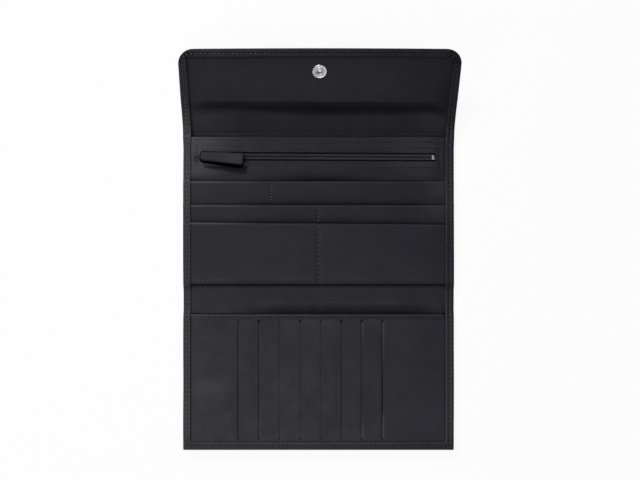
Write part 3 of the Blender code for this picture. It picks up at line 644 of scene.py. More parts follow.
# Covers with turned edges, by crease: joint, lowest and highest row, row step, free end, corner radius
SHELLS = {
    "flap": ("flap_fold", TOP_SPLIT, FLAP_END - INSET, 3 * MM, FLAP_END, FLAP_CORNER),
    "upper_back": ("top_spine_fold", BACK_SPLIT, TOP_SPLIT, 3 * MM, None, 0.0),
    "lower_back": ("bottom_spine_fold", BOTTOM_SPLIT, BACK_SPLIT, 3 * MM, None, 0.0),
    "front": ("front_fold", FRONT_END + INSET, BOTTOM_SPLIT, 3.5 * MM, FRONT_END, FRONT_CORNER),
}
SHELL_NODES = {
    "flap": (("flap", "left", "right", "top"),),
    "upper_back": (("back", "left", "right"), ("top_spine", "left", "right")),
    "lower_back": (("back", "left", "right"), ("bottom_spine", "left", "right")),
    "front": (("front", "left", "right", "bottom"),),
}


def strip_height(run):
    return np.interp(run, *STRIP_TOP)


def strip_profile():
    """Turned edge from the inner face, round the edge, to the outer face.

    Each point is (inset from the edge, 1 on top or 0 below, rise, shade), the shade being painted light:
    painted shade in the grooves and on the strip's wall, a painted highlight on its lip and rounded edge.
    """
    profile = [
        (INSET, 0, COVER_THICKNESS, 0.0), (STRIP_WALL, 0, COVER_THICKNESS, 0.0),
        (STRIP_WALL, 1, -STRIP_THICKNESS, -1.0), (STRIP_WIDTH, 1, -STRIP_THICKNESS, -1.0),
        (STRIP_WIDTH, 1, -0.30 * MM, STRIP_WALL_SHADE), (STRIP_WIDTH - 0.08 * MM, 1, -0.10 * MM, 0.15),
        (STRIP_WIDTH - 0.3 * MM, 1, 0.05 * MM, 0.3), (STRIP_WIDTH - 0.75 * MM, 1, STRIP_CROWN, 0.2),
        (STRIP_WIDTH - 1.3 * MM, 1, STRIP_CROWN, 0.0),
    ]
    for mark in GROOVE_LINES:
        profile.append((SEAM_FROM_EDGE - mark, 1, groove(mark) + STRIP_CROWN / 2, -0.04 * channel(mark)))
    turn = []
    for angle in np.radians((0, 22.5, 45, 67.5, 90)):
        inset, rise = EDGE_ROUND * (1 - math.sin(angle)), EDGE_ROUND * (math.cos(angle) - 1)
        turn.append((inset, rise, 0.1 * math.sin(2 * angle)))
    profile += [(inset, 1, rise, shade) for inset, rise, shade in turn]
    profile += [(inset, 0, -rise, shade) for inset, rise, shade in reversed(turn)]
    profile += [(SEAM_FROM_EDGE + mark, 0, -groove(mark), -0.3 * channel(mark)) for mark in GROOVE_LINES]
    profile.append((INSET, 0, 0.0, 0.0))
    return profile


def strip_sheen(x, run):
    """How much light is painted on the strips along the run, from the left edge over to the right one."""
    left, right = np.interp(run, *LEFT_PAINTED_LIGHT), np.interp(run, *RIGHT_PAINTED_LIGHT)
    return left + (right - left) * rightwards(x, -1, 2)


def corner_arc(inset, end, out, radius):
    """Places along the rounded left corner, from the side to the free end."""
    angles = np.radians(np.linspace(0, 90, 13))
    middle = inset + radius
    return middle - HALF - radius * np.cos(angles), end - out * (middle - radius * np.sin(angles))


def rim(inset, rows, cols, end, corner):
    """Places at one inset from the edges: up the left side, round a free end, down the right side.

    The corners get squarer with the inset, the left one sooner than the right one. The strip is a little
    narrower along the body's left, the flap's end and the flap's right corner.
    """
    x, run = [np.full(len(rows), inset - HALF)], [rows]
    if end is not None:
        out = 1 if end > rows[0] else -1
        left_x, left_run = corner_arc(inset, end, out, max(corner - LEFT_SQUARING * inset, 0))
        right_x, right_run = corner_arc(inset, end, out, min(corner, INSET - inset))
        x += [left_x, cols, -right_x[::-1]]
        run += [left_run, np.full(len(cols), end - out * inset), right_run[::-1]]
    x.append(np.full(len(rows), HALF - inset))
    run.append(rows[::-1])
    x, run = np.concatenate(x), np.concatenate(run)
    if inset < INSET:
        inner = smooth(inset - SEAM_FROM_EDGE, 2 * MM)
        x = x - LEFT_TRIM * inner * rightwards(-x, 0.85, 0.08) * smooth(TOP - run, 12 * MM)
        near_end = smooth(run - FLAP_END + 28 * MM, 16 * MM)
        x = x + CORNER_TRIM * inner * rightwards(x, 0.85, 0.08) * near_end
        run = run + END_TRIM * inner * smooth(run - FLAP_END + 20 * MM, 8 * MM)
    return x, run


def pleats(x, run):
    """Folds of the strip round the flap's corners: 1 on a fold, -1 between two."""
    beyond_x = np.abs(x) - HALF + FLAP_CORNER
    beyond_run = run - FLAP_END + FLAP_CORNER
    angle = np.arctan2(np.maximum(beyond_run, 0), np.maximum(beyond_x, WELD))
    in_corner = smooth(beyond_x, 2 * MM) * smooth(beyond_run, 2 * MM)
    return np.sin(angle * PLEAT_RATE) * in_corner


def strip_relief(x, run):
    return 0.06 * MM * ripple(x, run, 16 * MM, 3) + PLEAT_HEIGHT * pleats(x, run)


def toward_end(rows, end):
    """Rows in the order that leads to the free end, if there is one."""
    return rows[::-1] if end is not None and end < rows[0] else rows


def shell(name, rows, end, corner):
    """Cover leather with its edges turned up and in, along the rows and round a free end."""
    cols = lines(INSET - HALF, HALF - INSET, 9 * MM)
    points, faces, shades = [], [], []
    profile = strip_profile()
    for inset, top, rise, shade in profile:
        x, run = rim(inset, rows, cols, end, corner)
        height = rise - COVER_THICKNESS
        if top:
            height = rise + strip_height(run) + strip_relief(x, run)
        swell = 0.12 * MM * ripple(x, run, 45 * MM, 4)
        points.extend(lay(x + np.sign(x) * swell * (inset < EDGE_ROUND), run, height))
        # Painted highlight on the lips, weaker on the flap, plus the strips' painted light and painted shade
        # between the pleats' folds
        lip_share = np.interp(run, (TOP, TOP + 15 * MM), (1.0, 0.25)) if shade > 0 else 1.0
        painted_light = top * (strip_sheen(x, run) - 0.9 * np.maximum(-pleats(x, run), 0))
        shades.extend(shade * lip_share + painted_light * (shade > STRIP_WALL_SHADE))
    stations = len(x)
    for face in grid_faces(len(profile), stations):
        across_gap = end is None and face[0] % stations == len(rows) - 1
        if not across_gap:
            faces.append(face)
    grid_x, grid_run = np.meshgrid(cols, rows)
    for height in (0.0, -COVER_THICKNESS):
        faces += grid_faces(len(rows), len(cols), len(points))
        points.extend(lay(grid_x, grid_run, height).reshape(-1, 3))
    shades.extend([0.0] * (len(points) - len(shades)))
    return make(name, points, faces, STRIP_LEATHER, shade=shades)


def make_shells():
    """Covers, with close rows where the edge strips change height."""
    for name, (joint, low, high, step, end, corner) in SHELLS.items():
        steps = [(run, mm(-0.5, 0.0, 0.5)) for run in STRIP_TOP[0] if low < run < high]
        rows = toward_end(lines(low, high, step, *steps), end)
        nodes = []
        for panel, *sides in SHELL_NODES[name]:
            nodes += [f"{panel}_cover", *(f"{panel}_binding_{side}" for side in sides)]
        bend(shell(f"{name}_shell", rows, end, corner), joint, "cover_leather", *nodes)


# Linings

LINING_THICKNESS = 0.4 * MM
LINING_INSET = 4.8 * MM
BOARD_PAST_FLAP = 1.8 * MM
BOARD_RISE = 2.9 * MM
HANG_REACH = 3.2 * MM
FLAP_DROOP = 6.5 * MM
SPINE_SINK = 1.6 * MM
MOUTH_SINK = 2.0 * MM
GUTTER_DEPTH = 0.7 * MM
GUTTER_REACH = 1.0 * MM
OPEN_CORNER_SHADE = 0.9
SNAP_HOLE = 2.8 * MM


def past_board(x, run):
    """How far a place lies past the lower edge of the flap's board, which droops to the right."""
    droop = FLAP_DROOP * rightwards(x, 0.76, 0.26)
    return run - FLAP - BOARD_PAST_FLAP + droop - 0.5 * MM * ripple(x, x, 70 * MM, 5)


def top_lining_height(x, run):
    """Lining of top spine and flap: it hangs off the edge of the flap's board into a soft crease."""
    beyond = past_board(x, run)
    edge_level = np.interp(run, (FLAP - 3 * MM, FLAP + 3 * MM), (0.65 * MM, 1.4 * MM))
    before = 1.5 * MM * smooth(beyond + 3 * MM, 4 * MM) - beyond
    middle = 0.6 * MM + BOARD_RISE * decay(before, HANG_REACH) - SPINE_SINK * smooth(beyond, 34 * MM)
    uneven = 0.10 * MM * ripple(x, run, 40 * MM, 6)
    return edge_level + (middle - edge_level) * border_fade(x, 9 * MM) + uneven


def top_lining_shade(x, run):
    """Painted shade in the crease below the board's edge, in the gaps at the strips, behind the panel and on
    the flap's right; painted light on the ends of the spine.
    """
    beyond = past_board(x, run)
    wide, narrow = rightwards(x, -0.9, 0.9), rightwards(x, 0.5, 0.4)
    low_end = beyond + (6.5 + 6.0 * wide - 3.2 * narrow) * MM
    crease = smooth(0.2 * MM - beyond, 3.0 * MM) * smooth(low_end, 5 * MM)
    crease = crease * (0.56 + 0.22 * wide - 0.10 * narrow) * border_fade(x, (12 - 8 * narrow) * MM)
    right = 0.25 * rightwards(x, 0.4, 0.4) * smooth(beyond + 2 * MM, 4 * MM)
    ends = 0.20 * rightwards(-x, 0.45, 0.4) + 0.16 * rightwards(x, 0.6, 0.3)
    painted_light = ends * smooth(-6 * MM - beyond, 6 * MM) * smooth(run - PILE_HIGH, 4 * MM)
    gap = np.maximum(side_gap(x, 0.0, 1.0), decay(FLAP_END - STRIP_WIDTH + END_TRIM - run, GAP_REACH))
    behind_panel = 0.35 * decay(run - PILE_HIGH, 3.5 * MM)
    return painted_light - right - crease - behind_panel - (0.6 - 0.35 * narrow) * gap


def mouth_sag(x, run):
    """1 where the lining sinks deepest, at the middle and right of the document pocket's mouth."""
    across = 0.25 + 0.75 * rightwards(x, -0.85, 0.7) - 0.3 * rightwards(x, 0.65, 0.25)
    return smooth(FRONT + 8 * MM - run, 8 * MM) * across


def bottom_lining_height(x, run):
    """Lining of the bottom spine: it sinks into the document pocket and into a gutter below the pockets."""
    middle = 3.0 * MM - MOUTH_SINK * mouth_sag(x, run) * border_fade(x, 12 * MM)
    edge_level = np.interp(run, (FRONT - 6 * MM, FRONT), (1.4 * MM, 2.5 * MM))
    middle = np.where(run < FRONT, np.minimum(middle, edge_level), middle)
    level = edge_level + (middle - edge_level) * border_fade(x, 7 * MM)
    return level - GUTTER_DEPTH * decay(PILE_LOW - run, GUTTER_REACH) + 0.08 * MM * ripple(x, run, 30 * MM, 7)


def open_corner(x, run):
    """Painted shade in the corner where the document pocket's mouth opens beside the right strip."""
    near = bell(x - HALF + STRIP_WIDTH + MM, MM) * bell(run - FRONT + 1.7 * MM, 2.5 * MM)
    return OPEN_CORNER_SHADE * near


# Painted sheen at the left and right ends, painted shade where the lining sinks at the pocket's mouth, in the
# gaps and in the open corner
def bottom_lining_shade(x, run):
    painted_sheen = 0.12 * left_painted_sheen(x) + 0.12 * rightwards(x, 0.84, 0.08)
    return painted_sheen - 0.5 * mouth_sag(x, run) ** 2 - GAP_SHADE * side_gap(x) - open_corner(x, run)


def lining(name, low, high, step, height, shade):
    """Lining sheet between two runs, with a hole for the snap below its socket."""
    snap_x, snap_run = snap_place("snap_socket", TOP_CREASE, FLAP_TILT)
    snap_lines = (snap_x, (-SNAP_HOLE, 0.0, SNAP_HOLE))
    cols = lines(LINING_INSET - HALF, HALF - LINING_INSET, 3.5 * MM, snap_lines, *GAP_FEATURES)
    rows = lines(low, high, step)
    x, run = np.meshgrid(cols, rows)
    beside_x, beside_run = np.meshgrid(np.abs(middles(cols) - snap_x), np.abs(middles(rows) - snap_run))
    keep = np.maximum(beside_x, beside_run) > SNAP_HOLE
    top = height(x, run)
    return slab(f"{name}_leather", x, run, top - LINING_THICKNESS, top, LINING_LEATHER, keep, shade(x, run))


def make_linings():
    upper = (top_lining_height, top_lining_shade)
    lower = (bottom_lining_height, bottom_lining_shade)
    sheets = (
        ("flap_lining", "flap_fold", TOP_SPLIT, FLAP_END - LINING_INSET, 1.0 * MM, upper),
        ("top_spine_lining", "top_spine_fold", PILE_HIGH + 0.2 * MM, TOP_SPLIT, 1.0 * MM, upper),
        ("bottom_spine_lining", "bottom_spine_fold", BOTTOM_SPLIT, PILE_LOW - 0.2 * MM, 0.7 * MM, lower),
        ("front_lining", "front_fold", FRONT_END + LINING_INSET, BOTTOM_SPLIT, 2.0 * MM, lower),
    )
    for node, joint, low, high, step, surface in sheets:
        bend(lining(node, low, high, step, *surface), joint, "lining_leather", node)
    low, high = heights("back_lining")
    x, run = np.meshgrid(lines(-SHEET_HALF, SHEET_HALF, 9 * MM), lines(PILE_LOW, PILE_HIGH, 9 * MM))
    wave = 0.05 * MM * ripple(x, run, 50 * MM, 8)
    piece = slab("back_lining_leather", x, run, low + wave, high + wave, LINING_LEATHER)
    ride(piece, "back_panel", "lining_leather", "back_lining")


# Zip panel and open pockets

ZIP_RUN = (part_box("zip_tape_upper")[0].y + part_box("zip_tape_lower")[1].y) / 2
ZIP_SKEW = 0.0052
WINDOW_HALF = 3.35 * MM
WINDOW_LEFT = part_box("zip_top_stop_upper")[0].x + 0.9 * MM
WINDOW_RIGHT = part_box("zip_bottom_stop")[1].x + 0.25 * MM
WINDOW_END_LINES = mm(-0.6, -0.2, 0.0, 0.2, 0.6)
ZIP_END_DENT = (WINDOW_LEFT - 2.8 * MM, ZIP_RUN - 1.5 * MM)
PANEL_SEAM_RUN = PILE_HIGH - 3.2 * MM
FRAME_SEAM = {"left": -97.0 * MM, "right": 96.6 * MM, "low": ZIP_RUN - 7.9 * MM, "high": ZIP_RUN + 7.8 * MM}
POCKET_SEAM_RUN = PILE_LOW + 2.2 * MM
NEXT_POCKET = {"pocket_upper": "pocket_middle", "pocket_middle": "pocket_lower"}
DIVIDERS = {"pocket_upper": -37.3 * MM, "pocket_middle": -0.2 * MM, "pocket_lower": -0.2 * MM}
MOUTH_SKEW = {"pocket_upper": 0.0, "pocket_middle": 0.0, "pocket_lower": 0.0075}
POCKET_SHOWN = {"pocket_upper": 26 * MM, "pocket_middle": 22 * MM, "pocket_lower": math.inf}
POCKET_SEEDS = {"pocket_upper": 12, "pocket_middle": 13, "pocket_lower": 12}
HIDDEN_ROWS = (PILE_LOW, -30 * MM, 0.0)
MOUTH_SHEEN_REACH = 34 * MM
HEM_RISE = 0.28 * MM
HEM_WIDTH = 0.7 * MM
HEM_ROUND = 0.6 * MM


def zip_skew(x):
    """The zip runs a little downhill to the right."""
    return -ZIP_SKEW * x


def frame_distance(x, run):
    """Distance from the rectangle of stitches round the zip."""
    outside_x = np.maximum(FRAME_SEAM["left"] - x, x - FRAME_SEAM["right"])
    outside_run = np.maximum(FRAME_SEAM["low"] - run, run - FRAME_SEAM["high"])
    outer = np.hypot(np.maximum(outside_x, 0), np.maximum(outside_run, 0))
    return outer + np.abs(np.minimum(np.maximum(outside_x, outside_run), 0))


def zip_end_dent(x, run):
    """1 in the dent that the end of the zip presses into the panel, left of its window."""
    return bell(x - ZIP_END_DENT[0], 2.2 * MM) * bell(run - ZIP_END_DENT[1], 2.6 * MM)


def zip_panel_height(x, run):
    level = heights("zip_panel")[1]
    puff = 0.35 * MM * smooth(frame_distance(x, run), 5 * MM) * (run < FRAME_SEAM["low"])
    edge = 0.15 * MM * decay(np.abs(np.abs(run - ZIP_RUN) - WINDOW_HALF), MM)
    seams = groove(frame_distance(x, run)) + groove(run - PANEL_SEAM_RUN)
    sunk = DIP_DEPTH * dip(run - MOUTHS["pocket_upper"]) + GAP_DEPTH * side_gap(x)
    sunk += 0.6 * MM * zip_end_dent(x, run)
    return level + puff + edge + seams - sunk + 0.10 * MM * ripple(x, run, 34 * MM, 9)


# Painted light on the zip panel: a highlight on its top lip, painted sheen at the left and the right, painted
# shade in the stitch channels, before the pocket's mouth, in the gaps and in the zip's dent
def zip_panel_shade(x, run):
    above_pocket = run - MOUTHS["pocket_upper"]
    clear = smooth(above_pocket, 6 * MM)
    seams = channel(frame_distance(x, run)) + channel(run - PANEL_SEAM_RUN)
    edges = (0.12 + 0.35 * left_painted_sheen(x)) * edge_falloff(PILE_HIGH - run)
    wider_sheen = bell(x + 0.78 * HALF, 18 * MM) * smooth(run - ZIP_RUN, 4 * MM)
    painted_sheen = 0.65 * left_painted_sheen(x) * clear + 0.22 * wider_sheen
    deep_shade = bell(x - 5 * MM, 34 * MM) * bell(above_pocket, 5.5 * MM)
    sunk = 0.6 * (mouth_shade(x, above_pocket) + deep_shade) + GAP_SHADE * side_gap(x) + 0.9 * zip_end_dent(x, run)
    right = 0.25 * rightwards(x, 0.35, 0.4) * (1 - 0.9 * rightwards(x, 0.80, 0.1)) * clear
    return edges + painted_sheen + right - 0.15 * seams - np.minimum(sunk, 1)


def make_zip_panel():
    low_level, high_level = heights("zip_panel")
    thickness = high_level - low_level
    cols = lines(
        -SHEET_HALF, SHEET_HALF, 3 * MM,
        (FRAME_SEAM["left"], GROOVE_LINES), (FRAME_SEAM["right"], GROOVE_LINES),
        (WINDOW_LEFT, WINDOW_END_LINES), (WINDOW_RIGHT, WINDOW_END_LINES), *GAP_FEATURES,
    )
    rows = lines(
        PILE_LOW, PILE_HIGH, 2 * MM,
        (PILE_HIGH, mirrored(LIP_LINES)), (PANEL_SEAM_RUN, GROOVE_LINES),
        (FRAME_SEAM["low"], GROOVE_LINES), (FRAME_SEAM["high"], GROOVE_LINES),
        (ZIP_RUN - WINDOW_HALF, mirrored(LIP_LINES[:6])), (ZIP_RUN + WINDOW_HALF, LIP_LINES[:6]),
        (MOUTHS["pocket_upper"], DIP_LINES),
    )
    shown = rows[rows > MOUTHS["pocket_upper"] - 12 * MM]
    rows = np.concatenate((HIDDEN_ROWS, shown))
    x, run = np.meshgrid(cols, rows)
    from_window = np.maximum(WINDOW_LEFT - x, x - WINDOW_RIGHT)
    from_window = np.maximum(np.abs(run - ZIP_RUN) - WINDOW_HALF, from_window)
    share = lip(PILE_HIGH - run, thickness) * lip(np.maximum(from_window, 0), thickness)
    middle = zip_panel_height(x, run) - thickness / 2
    bottom, top = middle - share * thickness / 2, middle + share * thickness / 2
    cell_x, cell_run = middles(cols), middles(rows)
    across = (cell_x > WINDOW_LEFT) & (cell_x < WINDOW_RIGHT)
    keep = ~(across[None, :] & (np.abs(cell_run - ZIP_RUN) < WINDOW_HALF)[:, None])
    skewed = run + zip_skew(x) * smooth(PILE_HIGH - 0.5 * MM - run, 2 * MM)
    shade = zip_panel_shade(x, run)
    piece = slab("zip_panel_leather", x, skewed, bottom, top, PANEL_LEATHER, keep, shade)
    ride(piece, "back_panel", "panel_leather", "zip_panel")


def mouth_skew(name, x):
    return -MOUTH_SKEW[name] * x


def over_next_mouth(name, x, run):
    """How far a place lies above the mouth of the pocket in front; endlessly far if there is none."""
    if name not in NEXT_POCKET:
        return np.full(np.shape(run), np.inf)
    after = NEXT_POCKET[name]
    return run - MOUTHS[after] - mouth_skew(after, x)


def pocket_height(name, x, run):
    """Top of a pocket: a raised mouth, sewn down along its divider and its sides."""
    distance = MOUTHS[name] + mouth_skew(name, x) - run
    divider = DIVIDERS[name]
    sewn = smooth(np.abs(x - divider), 14 * MM) * border_fade(x, 14 * MM)
    rise = (0.14 * MM * np.exp(-distance / (8 * MM)) + 0.20 * MM) * (0.35 + 0.65 * sewn)
    rise += HEM_RISE * smooth(2 * HEM_WIDTH - distance, HEM_WIDTH)
    seam = groove(x - divider) * smooth(distance - 1.5 * MM, MM)
    if name == "pocket_lower":
        seam += groove(run - POCKET_SEAM_RUN)
    sunk = DIP_DEPTH * dip(over_next_mouth(name, x, run)) + GAP_DEPTH * side_gap(x)
    return heights(name)[1] + rise + seam - sunk + 0.09 * MM * ripple(x, run, 32 * MM, POCKET_SEEDS[name])


# Painted light on a pocket: a highlight on its mouth and foot, painted sheen at the left and the right,
# painted shade in the stitch channels, the gaps and before the next mouth
def pocket_shade(name, x, run):
    distance = MOUTHS[name] + mouth_skew(name, x) - run
    seam = channel(x - DIVIDERS[name]) * smooth(distance - 1.5 * MM, MM)
    edge = (0.06 + left_painted_sheen(x, MOUTH_SHEEN_REACH)) * edge_falloff(distance - 0.8 * MM)
    total = edge - GAP_SHADE * side_gap(x)
    if name in NEXT_POCKET:
        total += 0.25 * rightwards(x, 0.7, 0.2) - mouth_shade(x, over_next_mouth(name, x, run))
    if name == "pocket_upper":
        total += 0.12 * left_painted_sheen(x)
    if name == "pocket_lower":
        seam += channel(run - POCKET_SEAM_RUN)
        total += 0.05 * edge_falloff(run - PILE_LOW)
    return total - 0.12 * seam


def make_pockets():
    for name, mouth in MOUTHS.items():
        low_level, high_level = heights(name)
        thickness = high_level - low_level
        features = [(mouth, mirrored(LIP_LINES))]
        if name in NEXT_POCKET:
            features.append((MOUTHS[NEXT_POCKET[name]], DIP_LINES))
        else:
            features += [(POCKET_SEAM_RUN, GROOVE_LINES), (PILE_LOW, LIP_LINES)]
        rows = lines(PILE_LOW, mouth, 2.2 * MM, *features)
        rows = np.concatenate(([PILE_LOW], rows[rows > max(mouth - POCKET_SHOWN[name], PILE_LOW)]))
        cols = lines(-SHEET_HALF, SHEET_HALF, 3 * MM, (DIVIDERS[name], GROOVE_LINES), *GAP_FEATURES)
        x, run = np.meshgrid(cols, rows)
        share = lip(mouth - run, 2 * HEM_ROUND)
        if name not in NEXT_POCKET:
            share = share * lip(run - PILE_LOW, thickness)
        run = run + mouth_skew(name, x) * smooth(run - PILE_LOW, 20 * MM)
        height = pocket_height(name, x, run)
        bottom = np.minimum(low_level, height - thickness)
        top = bottom + share * (height - bottom)
        shade = pocket_shade(name, x, run)
        piece = slab(f"{name}_leather", x, run, bottom, top, PANEL_LEATHER, shade=shade)
        ride(piece, "back_panel", "panel_leather", name)


# Zip

COIL_PITCH = 1.1 * MM
COIL_RISE = 0.35 * MM
COIL_INNER, COIL_OUTER, COIL_CORE = mm(0.40, 2.30, 1.7)
COIL_WIRE = 0.50 * MM
COIL_CORE_RADIUS = 0.55 * MM
COIL_SLANT = 0.25 * MM
RIB_SHARES = np.array((0.0, 0.12, 0.4, 0.8, 1.0))
RIB_LEVELS = np.array((0.35, 0.78, 0.78, 0.74, 0.3))
RIB_TAPER = np.array((0.5, 1.0, 1.0, 0.9, 0.5))
STOP_ROUND = 0.3 * MM
STOP_SHARE = 0.70
STOP_WIDER = 1.35
STOP_GAP = 0.5 * MM
JAW_SHIFT = 0.4 * MM


def make_tape(name):
    low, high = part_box(f"zip_tape_{name}")
    rows = np.linspace(low.y, high.y, 8)
    x, run = np.meshgrid(lines(low.x, high.x, 4 * MM), rows if name == "upper" else rows[::-1])
    level = low.z - BASE + 0.05 * MM * ripple(x, run, 20 * MM, 11)
    piece = slab(f"zip_tape_{name}_weave", x, run + zip_skew(x), level, level + high.z - low.z, TAPE)
    ride(piece, "back_panel", "zip_tape", f"zip_tape_{name}")


def make_coil(name, side):
    """Row of teeth: ribs of bent wire over a straight core."""
    low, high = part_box(f"zip_chain_{name}")
    floor, crest = low.z - BASE + 0.2 * MM, high.z - BASE + COIL_RISE
    level = floor + (crest - floor) * RIB_LEVELS
    across = ZIP_RUN + side * (COIL_INNER + (COIL_OUTER - COIL_INNER) * RIB_SHARES)
    ribs = []
    for index in range(round((high.x - low.x) / COIL_PITCH)):
        centre = low.x + (index + 0.5) * COIL_PITCH + side * COIL_PITCH / 4
        path = lay(centre + COIL_SLANT * side * RIB_SHARES, across + zip_skew(centre), level)
        ribs.append(tube_mesh(path, COIL_WIRE * RIB_TAPER, 6))
    core_x = np.linspace(low.x, high.x, 30)
    core_run = ZIP_RUN + side * COIL_CORE + zip_skew(core_x)
    ribs.append(tube_mesh(lay(core_x, core_run, floor), COIL_CORE_RADIUS, 8))
    piece = make(f"zip_coil_{name}", *join(ribs), COIL, close=False)
    ride(piece, "back_panel", "zip_chain", f"zip_chain_{name}")


def make_stop(name, material):
    """Crimped metal stop; the one at the open end has two jaws on a bridge."""
    low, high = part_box(name)
    middle, half = (low + high) / 2, (high - low) / 2
    half.y *= STOP_SHARE
    middle.y += float(zip_skew(middle.x))
    low, high = middle - half, middle + half
    blocks = [block_mesh(low, high, STOP_ROUND)]
    if name == "zip_bottom_stop":
        low.x, high.x = middle.x - STOP_WIDER * half.x, middle.x + STOP_WIDER * half.x
        upper_low = (low.x - JAW_SHIFT, middle.y + STOP_GAP / 2, low.z)
        upper_high = (high.x - JAW_SHIFT, high.y, high.z)
        bridge_low = (low.x + STOP_ROUND, low.y + STOP_GAP, low.z + STOP_ROUND)
        bridge_high = (high.x - 2 * STOP_ROUND, high.y - STOP_GAP, high.z - STOP_ROUND)
        blocks = [
            block_mesh(upper_low, upper_high, STOP_ROUND),
            block_mesh(low, (high.x, middle.y - STOP_GAP / 2, high.z), STOP_ROUND),
            block_mesh(bridge_low, bridge_high, STOP_ROUND / 2),
        ]
    piece = make(f"{name}_metal", *join(blocks), material, sharp=50, close=False)
    ride(piece, "back_panel", "bright_metal", name)


def make_zip():
    for name, side in (("upper", 1), ("lower", -1)):
        make_tape(name)
        make_coil(name, side)
    stops = {"zip_top_stop_upper": DARK, "zip_top_stop_lower": DARK, "zip_bottom_stop": BRIGHT}
    for name, material in stops.items():
        make_stop(name, material)


SLIDER_TOP = BASE + 5.1 * MM
SLIDER_FOOT = SLIDER_TOP - 0.3 * MM
SLIDER_HALF_WIDTH = 4.4 * MM
SLIDER_TAPER = 0.16
SLIDER_PLATE, LOWER_PLATE = mm(0.6, 0.4)
LOWER_PLATE_SHARE = 0.72
PLATE_RINGS = ((0.93, 0.0), (1.0, 0.3), (1.0, 0.7), (0.93, 1.0))
POST_RADIUS = 0.4 * MM
BAIL_ARM, BAIL_RADIUS = mm(3.1, 0.6)
BAIL_BEND = ((0.0, 0.8), (0.0, 0.3), (0.5, 0.0))
KEEPER_LENGTH, KEEPER_HEIGHT, KEEPER_RADIUS, KEEPER_BACK = mm(1.8, 1.1, 0.5, 0.6)


def signed_root(value):
    return abs(value) ** 0.5 * math.copysign(1, value)


def make_slider():
    """Slider: two rounded plates on a post, with a bent-wire bail that the pull tab hangs on."""
    low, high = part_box("zip_slider")
    pin = Vector(JOINTS["pull_tab_swing"]["pos_m"])
    middle = (low + high) / 2
    angles = np.linspace(0, 2 * math.pi, 40, endpoint=False)
    parts = []
    plates = ((SLIDER_TOP - SLIDER_PLATE, SLIDER_PLATE, 1.0), (low.z, LOWER_PLATE, LOWER_PLATE_SHARE))
    for level, thickness, size in plates:
        points = []
        for grow, share in PLATE_RINGS:
            for angle in angles:
                ahead, aside = signed_root(math.cos(angle)), signed_root(math.sin(angle))
                aside *= (1.0 - SLIDER_TAPER * (ahead + 1) / 2) * SLIDER_HALF_WIDTH * size
                x = middle.x + ahead * (high.x - low.x) / 2 * grow
                points.append((x, middle.y + aside * grow, level + share * thickness))
        parts.append((points, ring_faces(len(PLATE_RINGS), len(angles))))
    post = [(middle.x, middle.y, low.z + LOWER_PLATE / 2), (middle.x, middle.y, SLIDER_FOOT)]
    parts.append(tube_mesh(post, POST_RADIUS, 10))
    arm = [(0.0, SLIDER_FOOT), *((inner * MM, pin.z - below * MM) for inner, below in BAIL_BEND)]
    bail = [(pin.x, middle.y - BAIL_ARM + inner, level) for inner, level in arm]
    bail += [(pin.x, middle.y + BAIL_ARM - inner, level) for inner, level in reversed(arm)]
    parts.append(tube_mesh(bail, BAIL_RADIUS, 12))
    keeper = []
    for angle in np.radians(np.linspace(180, 0, 9)):
        ahead, rise = KEEPER_LENGTH * math.cos(angle), KEEPER_HEIGHT * math.sin(angle)
        keeper.append((middle.x - KEEPER_BACK + ahead, middle.y, SLIDER_FOOT + rise))
    parts.append(tube_mesh(keeper, KEEPER_RADIUS, 10))
    piece = make("zip_slider_metal", *join(parts), DARK, close=False)
    ride(piece, "zip_slider_body", "dark_metal", "zip_slider")


TAB_NOSE = -2.7 * MM
TAB_LENGTH = 35.0 * MM
TAB_NOSE_ROUND = 3.0 * MM
TAB_CORNER = 2.2 * MM
TAB_HALF = 4.1 * MM
TAB_WIDENING = 1.6 * MM
TAB_THICKNESS = 2.1 * MM
TAB_SLANT = 2.9 * MM
TAB_CURL = 1.0 * MM
TAB_LEAN = 0.15
TAB_YAW = math.radians(-5)
PAINTED_SHADE = -0.5


